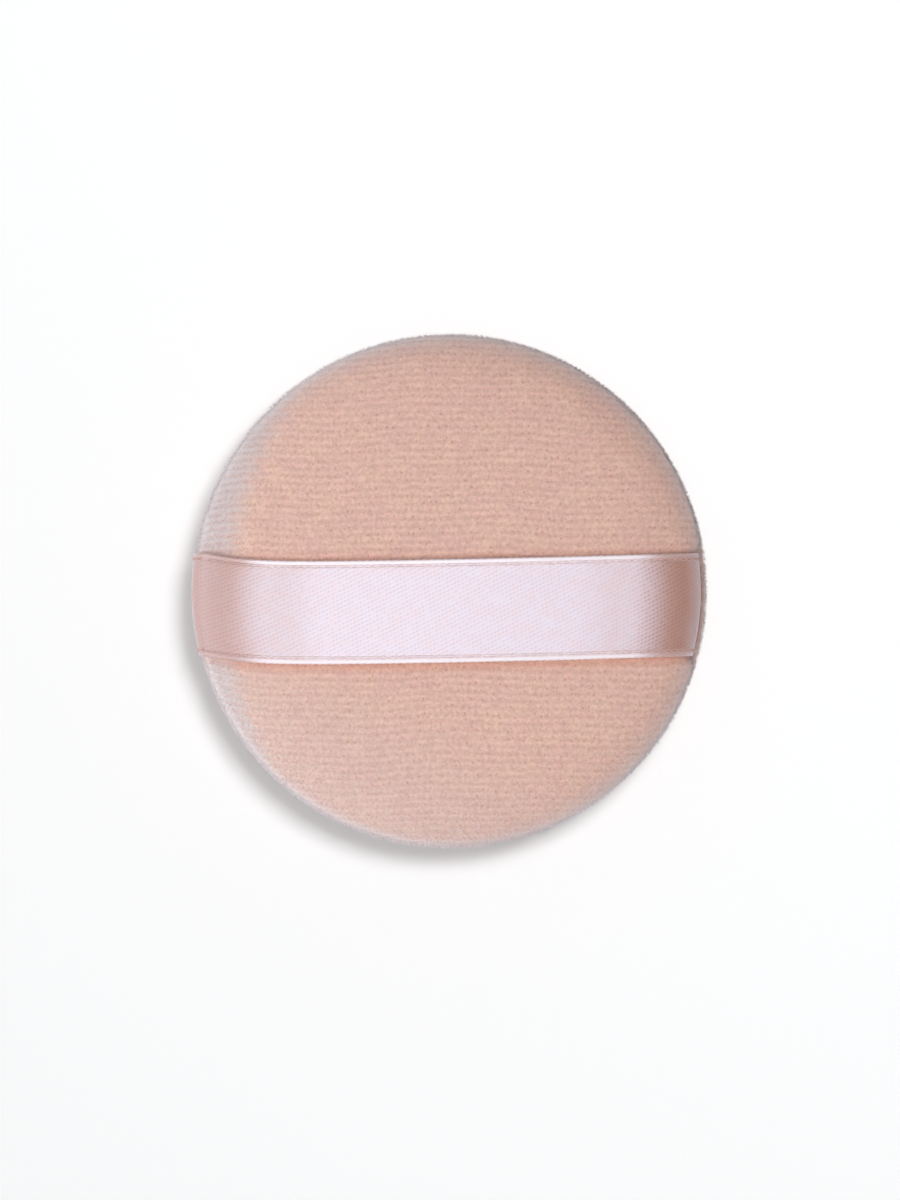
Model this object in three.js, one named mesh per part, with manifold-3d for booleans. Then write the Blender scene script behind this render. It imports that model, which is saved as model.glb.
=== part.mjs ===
// Round velour powder puff: two velour covers sewn together round the rim over a foam core,
// with a satin ribbon whose ends are caught in the rim seam, so that it makes a finger loop.
// The covers are sewn face to face and turned, so each has its seam allowance inside. The rim
// seam is a lockstitch of two threads, and the gap that was left for turning is closed by hand.
//
// Millimetres, +Z up. The origin is the middle of the face that the puff rests on, and the
// ribbon runs along X.

import * as THREE from 'three';
import { mergeGeometries, mergeVertices } from 'three/addons/utils/BufferGeometryUtils.js';
import Module from 'manifold-3d';

const wasm = await Module();
wasm.setup();

// Driving dimensions of the pad
const PAD_RADIUS = 40; // widest point of the lower cover
const PAD_HEIGHT = 15; // resting face to the crown
const SEAM_HEIGHT = 7.2; // resting face to the middle of the rim seam
const UPPER_SETBACK = 0.3; // how far the upper cover's widest point lies inside the lower cover's
const LIP_DRAW_IN = 0.7; // how far the upper cover draws in from its widest point to the seam
const LIP_RISE = 0.5; // height of each cover's fold above its seam allowance, on the inside
const FULLNESS = 2.6; // power of the covers' meridian: 2 is an ellipse, more is flatter on top
const RESTING_SINK = 0.5; // how much of the lower crown is pressed flat where the puff rests
const VELOUR_THICKNESS = 1.1; // backing and pile together
const SEAM_ALLOWANCE = 6; // turned-in edge of each cover, from the seam's mouth inwards

// Driving dimensions of the ribbon
const RIBBON_WIDTH = 16;
const RIBBON_THICKNESS = 0.25;
const FINGER_GAP = 1.6; // clear height between the crown and the middle of the ribbon
const SHOULDER_INSET = 10.5; // run over which each end of the ribbon falls to the rim
const SHOULDER_DROP = 1.5; // how far the ribbon's shoulders lie below its middle
const SHOULDER_EASE = 5; // length of the rounding at each shoulder
const RIM_EASE = 4; // length of the rounding where the ribbon meets the rim
const RIBBON_OFFSET = -2.1; // Y of the ribbon's sewn ends
const RIBBON_BOW = -1.3; // how much further the slack middle of the ribbon lies in Y
const PULL_DEPTH = 1.2; // how far the ribbon pulls the upper cover's rim in at its +X end
const PULL_HALF_ANGLE = 17; // degrees either side of that end's middle that are pulled in fully
const PULL_FADE_ANGLE = 6; // degrees over which the pull dies away beyond that

// Driving dimensions of the sewing
const THREAD_DIAMETER = 0.2;
const STITCH_LENGTH = 9.5; // machine stitches of the rim seam
const HAND_STITCH_LENGTH = 6; // ladder stitches that close the turning gap
const TACK_STITCH_LENGTH = 5.4; // straight stitches across each end of the ribbon
const TACK_STEP = 1; // from one straight stitch to the next
const SEAM_STITCH_INSET = 2; // the seam's mouth to the rim seam's needle line
const HAND_STITCH_INSET = 1.5; // the seam's mouth to the hand stitches
const TACK_MARGIN = 2; // the ribbon's edge to its outermost straight stitch
const TURNING_GAP = 48; // length of rim that is left open for turning, at +Y
const THREAD_TAIL = 1.5; // loose end of each thread

// Clearances
const FIT = 0.1; // each side of the ribbon inside the seam
const FOAM_FIT = 0.4; // round the foam core
const THREAD_FIT = 0.13; // round the threads

// Facets
const ROUND_STEPS = 36;
const CROWN_STEPS = 6;
const LIP_STEPS = 3;
const RIBBON_FALL_STEPS = 9;
const RIBBON_SPAN_STEPS = 16;
const RIBBON_ACROSS_STEPS = 4;
const HOLE_SIDES = 4;

// Heights measured from the seam plane
const SEAM_FACE = RIBBON_THICKNESS / 2 + FIT;
const ALLOWANCE_TOP = SEAM_FACE + VELOUR_THICKNESS;
const EQUATOR = ALLOWANCE_TOP + LIP_RISE;
const STITCH_LEVEL = ALLOWANCE_TOP + THREAD_FIT + THREAD_DIAMETER / 2;
const CROSSING_LEVEL = STITCH_LEVEL + THREAD_DIAMETER + THREAD_FIT;
const RIBBON_TOP = PAD_HEIGHT - SEAM_HEIGHT + FINGER_GAP + RIBBON_THICKNESS / 2;

// Radii of the seam
const UPPER_RIM = PAD_RADIUS - UPPER_SETBACK;
const MOUTH = UPPER_RIM - LIP_DRAW_IN;
const RAW_EDGE = MOUTH - SEAM_ALLOWANCE;
const PULL_MIDDLE = Math.atan2(RIBBON_OFFSET, MOUTH);
const SEAM_LINE = MOUTH - SEAM_STITCH_INSET;
const HAND_LINE = MOUTH - HAND_STITCH_INSET;
const TACK_LINE = RAW_EDGE + (SEAM_LINE - RAW_EDGE) / 3;
const RIBBON_BEND = UPPER_RIM - PULL_DEPTH + SEAM_FACE + RIBBON_THICKNESS / 2;

// In a lockstitch each thread's loop is this far either side of the needle line, and as far past
// the seam plane, so that the two threads hook each other inside the fabric.
const LOOP_REACH = THREAD_DIAMETER / 2 + THREAD_FIT;
const LOCK_HOLE = LOOP_REACH + THREAD_DIAMETER / 2 + THREAD_FIT;
const PASS_HOLE = THREAD_DIAMETER / 2 + THREAD_FIT;

const UPPER = { side: 1, rim: UPPER_RIM, crown: PAD_HEIGHT - SEAM_HEIGHT, flat: Infinity };
const LOWER = { side: -1, rim: PAD_RADIUS, crown: SEAM_HEIGHT + RESTING_SINK, flat: SEAM_HEIGHT };

const radians = THREE.MathUtils.degToRad;

// Mesh helpers

function toSolid(geometry) {
  const bare = geometry.clone();
  bare.deleteAttribute('normal');
  bare.deleteAttribute('uv');
  const merged = mergeVertices(bare);
  const vertProperties = merged.getAttribute('position').array;
  const corners = merged.getIndex().array;
  const triVerts = [];
  for (let i = 0; i < corners.length; i += 3) {
    const [a, b, c] = corners.slice(i, i + 3);
    const collapsed = a === b || b === c || c === a;
    if (!collapsed) triVerts.push(a, b, c);
  }
  return new wasm.Manifold(
    new wasm.Mesh({ numProp: 3, vertProperties, triVerts: new Uint32Array(triVerts) }),
  );
}

function toGeometry(solid) {
  const { vertProperties, triVerts } = solid.getMesh();
  const geometry = new THREE.BufferGeometry();
  geometry.setAttribute('position', new THREE.BufferAttribute(vertProperties, 3));
  geometry.setIndex(new THREE.BufferAttribute(triVerts, 1));
  geometry.computeVertexNormals();
  return geometry;
}

// A section of [across, up] points, one side out and the other back, is carried along a path with
// mitred corners and closed ends.
// across starts along firstAcross and turns only as much as the path does, or, where level is
// set, keeps to firstAcross all the way.
function sweep(path, section, firstAcross, level = false) {
  const runs = path.slice(1).map((p, i) => p.clone().sub(path[i]).normalize());
  const square = (run) => firstAcross.clone().addScaledVector(run, -firstAcross.dot(run)).normalize();
  const turn = new THREE.Quaternion();
  let across = square(runs[0]);
  const positions = [];
  path.forEach((point, i) => {
    const run = runs[Math.max(i - 1, 0)];
    const next = runs[Math.min(i, runs.length - 1)];
    const mitre = run.clone().add(next).normalize();
    const up = new THREE.Vector3().crossVectors(run, across);
    for (const [a, u] of section) {
      const offset = across.clone().multiplyScalar(a).addScaledVector(up, u);
      offset.addScaledVector(run, -offset.dot(mitre) / run.dot(mitre));
      positions.push(...offset.add(point).toArray());
    }
    across = level ? square(next) : across.applyQuaternion(turn.setFromUnitVectors(run, next));
  });

  const sides = section.length;
  const last = (path.length - 1) * sides;
  const index = [];
  for (let ring = 0; ring < last; ring += sides) {
    for (let k = 0; k < sides; k++) {
      const a = ring + k;
      const b = ring + ((k + 1) % sides);
      index.push(a, b, b + sides, a, b + sides, a + sides);
    }
  }
  for (let a = 0; a < sides / 2 - 1; a++) {
    const b = a + 1;
    const c = sides - 1 - b;
    const d = sides - 1 - a;
    index.push(a, c, b, a, d, c, last + a, last + b, last + c, last + a, last + c, last + d);
  }
  const geometry = new THREE.BufferGeometry();
  geometry.setAttribute('position', new THREE.Float32BufferAttribute(positions, 3));
  geometry.setIndex(index);
  geometry.computeVertexNormals();
  return geometry;
}

// Shape of the covers

// Points of one cover's dome from its pole to its equator, as [radius, height from the seam plane].
// reach stops them short of the equator, at that radius.
function domeArc(rim, crown, flat, reach = rim) {
  const power = 2 / FULLNESS;
  const rise = crown - EQUATOR;
  const start = flat < crown ? Math.asin(((flat - EQUATOR) / rise) ** (1 / power)) : Math.PI / 2;
  const end = Math.acos((reach / rim) ** (1 / power));
  const points = flat < crown ? [[0, flat]] : [];
  for (let i = 0; i <= CROWN_STEPS; i++) {
    const angle = THREE.MathUtils.lerp(start, end, i / CROWN_STEPS);
    points.push([rim * Math.cos(angle) ** power, EQUATOR + rise * Math.sin(angle) ** power]);
  }
  return points;
}

// Points of the fold from just past the equator in to the seam allowance.
function lipArc(rim, drawIn, height) {
  const points = [];
  for (let i = 1; i <= LIP_STEPS; i++) {
    const angle = (Math.PI / 2) * (i / LIP_STEPS);
    points.push([rim - drawIn * (1 - Math.cos(angle)), EQUATOR - height * Math.sin(angle)]);
  }
  return points;
}

function coverMeridian({ side, rim, crown, flat }) {
  const inner = rim - VELOUR_THICKNESS;
  const drawIn = rim - MOUTH;
  const points = [
    ...domeArc(inner, crown - VELOUR_THICKNESS, flat - VELOUR_THICKNESS),
    ...lipArc(inner, drawIn, LIP_RISE),
    [RAW_EDGE, ALLOWANCE_TOP],
    [RAW_EDGE, SEAM_FACE],
    ...lipArc(rim, drawIn, LIP_RISE + VELOUR_THICKNESS).reverse(),
    ...domeArc(rim, crown, flat).reverse(),
  ].map(([radius, height]) => new THREE.Vector2(radius, SEAM_HEIGHT + side * height));
  return side > 0 ? points : points.reverse();
}

function lathe(points) {
  return new THREE.LatheGeometry(points, ROUND_STEPS).rotateX(Math.PI / 2);
}

// How far the ribbon pulls the upper cover and the seam line in, near the ribbon's +X end.
function pullAt(radius, angle) {
  const away = THREE.MathUtils.radToDeg(Math.abs(angle - PULL_MIDDLE));
  const around = 1 - THREE.MathUtils.smoothstep(away, PULL_HALF_ANGLE, PULL_HALF_ANGLE + PULL_FADE_ANGLE);
  return PULL_DEPTH * around * THREE.MathUtils.smoothstep(radius, RAW_EDGE, MOUTH);
}

function pullInRim(geometry) {
  const position = geometry.getAttribute('position');
  for (let i = 0; i < position.count; i++) {
    const x = position.getX(i);
    const y = position.getY(i);
    const radius = Math.hypot(x, y);
    const share = radius > 0 ? 1 - pullAt(radius, Math.atan2(y, x)) / radius : 1;
    position.setXY(i, x * share, y * share);
  }
  return geometry;
}

// How far the round seam has drawn back from its place on the X axis, at a distance y from that axis.
function seamBow(y) {
  return UPPER_RIM - Math.sqrt(UPPER_RIM ** 2 - y ** 2);
}

// Places of the stitches, as flat [x, y] points, and the places in space that a thread passes

const at = ([x, y], height) => new THREE.Vector3(x, y, SEAM_HEIGHT + height);

function onSeam(radius, angle) {
  const turned = Math.atan2(Math.sin(angle), Math.cos(angle));
  const pulled = radius - pullAt(radius, turned);
  return [pulled * Math.cos(angle), pulled * Math.sin(angle)];
}

function arcStations(radius, from, to, pitch) {
  const count = Math.max(Math.round(((to - from) * radius) / pitch), 1);
  return Array.from({ length: count + 1 }, (_, i) => {
    return onSeam(radius, THREE.MathUtils.lerp(from, to, i / count));
  });
}

const gapHalf = TURNING_GAP / 2 / SEAM_LINE;
const seamStations = arcStations(
  SEAM_LINE, Math.PI / 2 + gapHalf, Math.PI * 2.5 - gapHalf, STITCH_LENGTH,
);

const handMargin = HAND_STITCH_LENGTH / 2 / HAND_LINE;
const handStations = arcStations(
  HAND_LINE, Math.PI / 2 - gapHalf + handMargin, Math.PI / 2 + gapHalf - handMargin, HAND_STITCH_LENGTH,
);

function tackStations(side) {
  const x = side > 0 ? onSeam(TACK_LINE, 0)[0] : -TACK_LINE;
  const pitch = TACK_STITCH_LENGTH + TACK_STEP;
  const count = Math.max(Math.round((RIBBON_WIDTH - 2 * TACK_MARGIN + TACK_STEP) / pitch), 1);
  const first = RIBBON_OFFSET - (count * pitch - TACK_STEP) / 2;
  return Array.from({ length: count }, (_, i) => [
    [x, first + i * pitch],
    [x, first + i * pitch + TACK_STITCH_LENGTH],
  ]).flat();
}

// A straight stitch at the ribbon's +X end shows outside: it lies on the lower cover's lip against
// the ribbon's bend, and its ends slant in through the lip to the inside of the lower cover.
function outerTackEnd(y) {
  const x = RIBBON_BEND + THREAD_FIT + THREAD_DIAMETER / 2 - seamBow(y);
  const share = Math.max((Math.hypot(x, y) - MOUTH) / (PAD_RADIUS - MOUTH), 0);
  const lip = EQUATOR - (LIP_RISE + VELOUR_THICKNESS) * Math.sin(Math.acos(share));
  return {
    outside: at([x, y], THREAD_FIT + THREAD_DIAMETER / 2 - lip),
    inside: at([MOUTH - PULL_DEPTH - seamBow(y), y], -CROSSING_LEVEL),
  };
}

// Needle holes, cut through every layer that they meet

function holeBetween(from, to, inradius) {
  const radius = inradius / Math.cos(Math.PI / HOLE_SIDES);
  const run = to.clone().sub(from);
  const turn = new THREE.Quaternion().setFromUnitVectors(new THREE.Vector3(0, 1, 0), run.clone().normalize());
  const middle = from.clone().addScaledVector(run, 0.5);
  return new THREE.CylinderGeometry(radius, radius, run.length(), HOLE_SIDES)
    .applyQuaternion(turn)
    .translate(...middle.toArray());
}

function needleHoles(stations, inradius) {
  const holes = stations.map((station) => holeBetween(at(station, -EQUATOR), at(station, EQUATOR), inradius));
  return toSolid(mergeGeometries(holes));
}

function slantedHoles(stations) {
  const holes = stations.map(([, y]) => {
    const { outside, inside } = outerTackEnd(y);
    return holeBetween(outside, inside, PASS_HOLE);
  });
  return toSolid(mergeGeometries(holes));
}

const leftTack = tackStations(-1);
const rightTack = tackStations(1);

const allHoles = [
  needleHoles(seamStations, LOCK_HOLE),
  needleHoles(handStations, PASS_HOLE),
  needleHoles(leftTack, PASS_HOLE),
  needleHoles(rightTack, PASS_HOLE),
  slantedHoles(rightTack),
];

function pierced(geometry) {
  return toGeometry(allHoles.reduce((solid, holes) => solid.subtract(holes), toSolid(geometry)));
}

// Threads

const threadSection = [45, 135, 225, 315].map((degrees) => [
  (THREAD_DIAMETER / 2) * Math.cos(radians(degrees)),
  (THREAD_DIAMETER / 2) * Math.sin(radians(degrees)),
]);

function threadAlong(path) {
  const lead = path[0].clone().add(path[0].clone().sub(path[2]).setZ(0).setLength(THREAD_TAIL));
  const end = path.at(-1).clone().sub(path.at(-3)).setZ(0).setLength(THREAD_TAIL).add(path.at(-1));
  return sweep([lead, ...path, end], threadSection, new THREE.Vector3(0, 0, 1));
}

// One thread of the lockstitch, on the upper allowance for side 1 and on the lower one for -1.
// The upper thread's loops stand across the seam and the lower thread's along it.
function lockThread(stations, side) {
  const path = stations.flatMap(([x, y]) => {
    const outward = new THREE.Vector2(x, y).setLength(LOOP_REACH);
    const step = side > 0 ? outward : new THREE.Vector2(-outward.y, outward.x);
    const near = [x - step.x, y - step.y];
    const far = [x + step.x, y + step.y];
    return [
      at(near, side * STITCH_LEVEL),
      at(near, -side * LOOP_REACH),
      at(far, -side * LOOP_REACH),
      at(far, side * STITCH_LEVEL),
    ];
  });
  return threadAlong(path);
}

// A single thread that goes down through one hole and up through the next.
function runningThread(stations) {
  const path = stations.flatMap((station, i) => {
    const down = i % 2 === 0 ? 1 : -1;
    return [at(station, down * STITCH_LEVEL), at(station, -down * STITCH_LEVEL)];
  });
  return threadAlong(path);
}

// A single thread whose every other stitch lies outside, against the ribbon's bend, and which
// catches the ribbon's tail on its way to the inside of the upper cover.
function outerTackThread(stations) {
  const path = stations.flatMap((station, i) => {
    const { outside, inside } = outerTackEnd(station[1]);
    const legs = [at(station, STITCH_LEVEL), at(station, -CROSSING_LEVEL), inside, outside];
    return i % 2 === 0 ? legs : legs.reverse();
  });
  return threadAlong(path);
}

// Ribbon

// One end of the ribbon from its tail inside the seam up to its shoulder, as [distance from the
// middle, height from the seam plane].
function ribbonEnd(pull) {
  const mouth = MOUTH - pull;
  const points = [[RAW_EDGE + FIT, 0], [mouth, 0]];
  for (let i = 1; i <= LIP_STEPS * 2; i++) {
    const angle = (Math.PI / 2) * (1 - i / (LIP_STEPS * 2));
    const height = LIP_RISE + VELOUR_THICKNESS;
    const outward = new THREE.Vector2(Math.cos(angle) / LIP_DRAW_IN, -Math.sin(angle) / height);
    outward.setLength(SEAM_FACE);
    points.push([
      mouth + LIP_DRAW_IN * Math.cos(angle) + outward.x,
      EQUATOR - height * Math.sin(angle) + outward.y,
    ]);
  }
  const rim = new THREE.Vector2(...points.at(-1));
  const shoulder = new THREE.Vector2(rim.x - SHOULDER_INSET, RIBBON_TOP - SHOULDER_DROP);
  const slope = new THREE.Vector2(1, (-2 * SHOULDER_DROP) / shoulder.x).setLength(SHOULDER_EASE);
  const fall = new THREE.CubicBezierCurve(
    rim, new THREE.Vector2(rim.x, rim.y + RIM_EASE), shoulder.clone().add(slope), shoulder,
  );
  points.push(...fall.getPoints(RIBBON_FALL_STEPS).slice(1).map((p) => p.toArray()));
  return { points, rim: rim.x, shoulder: shoulder.x };
}

function ribbonPath() {
  const left = ribbonEnd(0);
  const right = ribbonEnd(PULL_DEPTH);
  const span = [];
  for (let i = 1; i < RIBBON_SPAN_STEPS; i++) {
    const x = THREE.MathUtils.lerp(-left.shoulder, right.shoulder, i / RIBBON_SPAN_STEPS);
    const share = x / (x < 0 ? left.shoulder : right.shoulder);
    span.push([x, RIBBON_TOP - SHOULDER_DROP * share ** 2]);
  }
  const flat = [
    ...left.points.map(([distance, height]) => [-distance, height]),
    ...span,
    ...right.points.reverse(),
  ];
  return flat.map(([x, height]) => {
    const share = Math.min(Math.abs(x) / (x < 0 ? left.rim : right.rim), 1);
    const slack = height > EQUATOR ? 1 - share ** 2 : 0;
    return at([x, RIBBON_OFFSET + RIBBON_BOW * slack], height);
  });
}

// Both ends of the ribbon follow the round seam that holds them.
function followSeam(geometry) {
  const position = geometry.getAttribute('position');
  for (let i = 0; i < position.count; i++) {
    const x = position.getX(i);
    const share = THREE.MathUtils.smoothstep(Math.abs(x), RAW_EDGE / 2, RAW_EDGE);
    position.setX(i, x - Math.sign(x) * share * seamBow(position.getY(i)));
  }
  return geometry;
}

function ribbon() {
  const t = RIBBON_THICKNESS / 2;
  const across = Array.from({ length: RIBBON_ACROSS_STEPS + 1 }, (_, i) => {
    return RIBBON_WIDTH * (i / RIBBON_ACROSS_STEPS - 0.5);
  });
  const section = [...across.map((a) => [a, -t]), ...across.toReversed().map((a) => [a, t])];
  return pierced(followSeam(sweep(ribbonPath(), section, new THREE.Vector3(0, 1, 0), true)));
}

// Pad

function upperCover() {
  return pierced(pullInRim(lathe(coverMeridian(UPPER))));
}

function lowerCover() {
  return pierced(lathe(coverMeridian(LOWER)));
}

function foamCore() {
  const skin = VELOUR_THICKNESS + FOAM_FIT;
  const reach = RAW_EDGE - FOAM_FIT;
  const face = ({ side, rim, crown, flat }) => {
    const arc = domeArc(rim - VELOUR_THICKNESS, crown - skin, flat - skin, reach);
    return arc.map(([radius, height]) => new THREE.Vector2(radius, SEAM_HEIGHT + side * height));
  };
  return lathe([...face(LOWER), ...face(UPPER).reverse()]);
}

// Assembly

function piece(name, geometry, color, roughness) {
  const mesh = new THREE.Mesh(geometry, new THREE.MeshStandardMaterial({ color, roughness, metalness: 0 }));
  mesh.name = name;
  return mesh;
}

const VELOUR = 0xdbb5a7;
const SATIN = 0xeee2ec;
const FOAM = 0xf3ead9;
const THREAD = 0xe2b6ab;

const puff = new THREE.Group();
puff.add(
  piece('lower_cover', lowerCover(), VELOUR, 0.95),
  piece('upper_cover', upperCover(), VELOUR, 0.95),
  piece('foam_core', foamCore(), FOAM, 0.9),
  piece('ribbon', ribbon(), SATIN, 0.35),
  piece('rim_needle_thread', lockThread(seamStations, 1), THREAD, 0.6),
  piece('rim_bobbin_thread', lockThread(seamStations, -1), THREAD, 0.6),
  piece('closing_thread', runningThread(handStations), THREAD, 0.6),
  piece('left_tack_thread', runningThread(leftTack), THREAD, 0.6),
  piece('right_tack_thread', outerTackThread(rightTack), THREAD, 0.6),
);

export default puff;
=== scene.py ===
"""Powder puff: a round velour pad with a satin finger ribbon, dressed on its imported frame."""

import logging
import math
from dataclasses import dataclass, field
from enum import Enum
from typing import Any, Iterable

import bpy
import numpy as np
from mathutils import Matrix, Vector


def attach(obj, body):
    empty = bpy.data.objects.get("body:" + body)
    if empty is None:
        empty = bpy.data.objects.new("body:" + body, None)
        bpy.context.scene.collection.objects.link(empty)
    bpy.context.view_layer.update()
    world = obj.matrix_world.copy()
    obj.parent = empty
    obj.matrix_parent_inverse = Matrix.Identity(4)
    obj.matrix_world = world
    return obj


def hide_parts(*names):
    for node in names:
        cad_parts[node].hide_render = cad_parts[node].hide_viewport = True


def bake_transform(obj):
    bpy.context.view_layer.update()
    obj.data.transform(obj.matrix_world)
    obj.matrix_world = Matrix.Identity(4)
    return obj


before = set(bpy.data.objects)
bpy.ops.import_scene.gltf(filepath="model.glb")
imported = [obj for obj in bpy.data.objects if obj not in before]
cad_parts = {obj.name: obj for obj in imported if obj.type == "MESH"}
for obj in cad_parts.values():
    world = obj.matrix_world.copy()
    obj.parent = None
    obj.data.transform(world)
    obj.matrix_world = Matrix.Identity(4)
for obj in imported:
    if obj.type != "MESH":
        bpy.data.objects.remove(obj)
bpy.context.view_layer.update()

MM = 0.001
NOISE_SPAN = (0.3, 0.7)
Colour = tuple[float, float, float, float]
log = logging.getLogger("powder_puff")


class Side(Enum):
    """The two covers of the pad, by the way each one bulges."""

    UPPER = 1
    LOWER = -1


class End(Enum):
    """The two ends of the ribbon, by the direction of each from the middle."""

    LEFT = -1
    RIGHT = 1


def srgb(red: float, green: float, blue: float) -> Colour:
    """Turns a colour as a screen shows it into the linear colour that a shader takes.

    Args:
        red: Red from 0 to 255.
        green: Green from 0 to 255.
        blue: Blue from 0 to 255.

    Returns:
        The linear colour, with an alpha of 1.
    """
    def linear(value: float) -> float:
        """Gives one channel in linear light."""
        share = value / 255
        return share / 12.92 if share <= 0.04045 else ((share + 0.055) / 1.055) ** 2.4

    return (linear(red), linear(green), linear(blue), 1.0)


def smoothstep(value: Any, low: float, high: float) -> Any:
    """Rises smoothly from 0, where a number or an array is at low, to 1, where it is at high."""
    share = np.clip((value - low) / (high - low), 0, 1)
    return share * share * (3 - 2 * share)


def resample(points: np.ndarray, step: float) -> np.ndarray:
    """Spaces the points of a line evenly.

    Args:
        points: The line's points, one in each row.
        step: The wanted distance from point to point.

    Returns:
        The new points, with the same two ends.
    """
    lengths = np.concatenate([[0], np.cumsum(np.linalg.norm(np.diff(points, axis=0), axis=1))])
    count = max(round(lengths[-1] / step), 2)
    stations = np.linspace(0, lengths[-1], count + 1)
    return np.stack([np.interp(stations, lengths, column) for column in points.T], axis=1)


def angles(count: int) -> np.ndarray:
    """Gives angles evenly spaced round a full turn, from 0."""
    return np.arange(count) * (2 * np.pi / count)


def disc_faces(rings: int, spokes: int, closed: bool) -> list[list[int]]:
    """Numbers the faces of a line turned round the pad's axis, whose first point is a pole.

    Args:
        rings: Number of rings without the poles.
        spokes: Number of points in each ring.
        closed: Whether the line ends in a second pole.

    Returns:
        The faces. Vertex 0 is the first pole, and a second one comes last.
    """
    found = []
    last = 1 + rings * spokes
    for spoke in range(spokes):
        after = (spoke + 1) % spokes
        found.append([0, 1 + spoke, 1 + after])
        for ring in range(rings - 1):
            low, high = 1 + ring * spokes, 1 + (ring + 1) * spokes
            found.append([low + spoke, high + spoke, high + after, low + after])
        if closed:
            low = last - spokes
            found.append([low + spoke, last, low + after])
    return found


def unit(vectors: np.ndarray) -> np.ndarray:
    """Scales each vector of an array to a length of 1."""
    return vectors / np.maximum(np.linalg.norm(vectors, axis=-1, keepdims=True), 1e-12)


def mesh_piece(name: str, points: np.ndarray, faces: Iterable, edges: Iterable = ()) -> bpy.types.Object:
    """Makes a smooth mesh object at the origin.

    Args:
        name: The piece's name.
        points: Its vertices in millimetres.
        faces: Its faces, as rows of vertex numbers.
        edges: Loose edges, for a line.

    Returns:
        The new object, in the scene.
    """
    mesh = bpy.data.meshes.new(name)
    mesh.from_pydata((np.asarray(points) * MM).tolist(), list(edges), list(faces))
    mesh.polygons.foreach_set("use_smooth", np.ones(len(mesh.polygons), dtype=bool))
    mesh.update()
    piece = bpy.data.objects.new(name, mesh)
    bpy.context.scene.collection.objects.link(piece)
    return piece


def store(piece: bpy.types.Object, name: str, values: np.ndarray) -> None:
    """Keeps a number or a vector for each vertex of a piece.

    Args:
        piece: The mesh object.
        name: The attribute's name.
        values: One row for each vertex.
    """
    kind, key = ("FLOAT_VECTOR", "vector") if values.ndim == 2 else ("FLOAT", "value")
    attribute = piece.data.attributes.new(name, kind, "POINT")
    attribute.data.foreach_set(key, values.astype(np.float32).ravel())


@dataclass
class Sketch:
    """Adds and links nodes in one shader or geometry tree."""

    tree: bpy.types.NodeTree

    def add(self, kind: str, inputs: dict[Any, Any] | None = None, **settings: Any) -> bpy.types.Node:
        """Adds a node.

        Args:
            kind: The node's type.
            inputs: Values or sockets for its inputs, by name or number.
            **settings: Properties of the node.

        Returns:
            The new node.
        """
        node = self.tree.nodes.new(kind)
        for key, value in settings.items():
            setattr(node, key, value)
        for key, value in (inputs or {}).items():
            self.feed(node.inputs[key], value)
        return node

    def feed(self, socket: bpy.types.NodeSocket, value: Any) -> None:
        """Links a socket to another one, or sets its value.

        Args:
            socket: The input.
            value: A socket to link it to, or a plain value.
        """
        if isinstance(value, bpy.types.NodeSocket):
            self.tree.links.new(value, socket)
        else:
            socket.default_value = value

    def math(self, operation: str, first: Any, second: Any = 0.5, third: Any = 0.5) -> bpy.types.NodeSocket:
        """Adds a Math node, whose values are numbers or sockets, and gives its output."""
        return self.add("ShaderNodeMath", {0: first, 1: second, 2: third}, operation=operation).outputs[0]

    def mix(self, share: Any, first: Any, second: Any, blend: str = "MIX") -> bpy.types.NodeSocket:
        """Mixes two colours or sockets, with a share of the second one."""
        node = self.add("ShaderNodeMix", {0: share, 6: first, 7: second}, data_type="RGBA", blend_type=blend)
        return node.outputs[2]

    def ramp(self, value: Any, low: Any, high: Any, start: Any = 0.0, end: Any = 1.0) -> bpy.types.NodeSocket:
        """Maps a value smoothly from the range low to high to the range start to end."""
        inputs = {"Value": value, "From Min": low, "From Max": high, "To Min": start, "To Max": end}
        return self.add("ShaderNodeMapRange", inputs, interpolation_type="SMOOTHSTEP").outputs["Result"]

    def place(self) -> bpy.types.NodeSocket:
        """Reads the place on the piece."""
        return self.add("ShaderNodeTexCoord").outputs["Object"]

    def number(self, name: str) -> bpy.types.NodeSocket:
        """Reads a number that the piece stores for each vertex."""
        return self.add("ShaderNodeAttribute", attribute_name=name).outputs["Fac"]

    def vector(self, name: str) -> bpy.types.NodeSocket:
        """Reads a vector that the piece stores for each vertex."""
        return self.add("ShaderNodeAttribute", attribute_name=name).outputs["Vector"]

    def noise(self, vector: Any, scale: float, detail: float) -> bpy.types.NodeSocket:
        """Adds a Noise Texture node and gives its noise, from 0 to 1."""
        inputs = {"Vector": vector, "Scale": scale, "Detail": detail}
        return self.add("ShaderNodeTexNoise", inputs).outputs["Fac"]

    def shade(self, colour: Any, level: Any) -> bpy.types.NodeSocket:
        """Multiplies a colour or socket by a level."""
        grey = self.add("ShaderNodeCombineColor", {"Red": level, "Green": level, "Blue": level})
        return self.mix(1.0, colour, grey.outputs["Color"], "MULTIPLY")

    def bump(self, shader: bpy.types.Node, height: Any, strength: float, distance: float) -> bpy.types.Node:
        """Gives a shader a bumpy surface.

        Args:
            shader: The shader.
            height: The height's socket, from 0 to 1.
            strength: How strongly it shows.
            distance: The full height in metres.

        Returns:
            The Bump node.
        """
        bump = self.add("ShaderNodeBump", {"Strength": strength, "Distance": distance, "Height": height})
        self.feed(shader.inputs["Normal"], bump.outputs["Normal"])
        return bump


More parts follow.
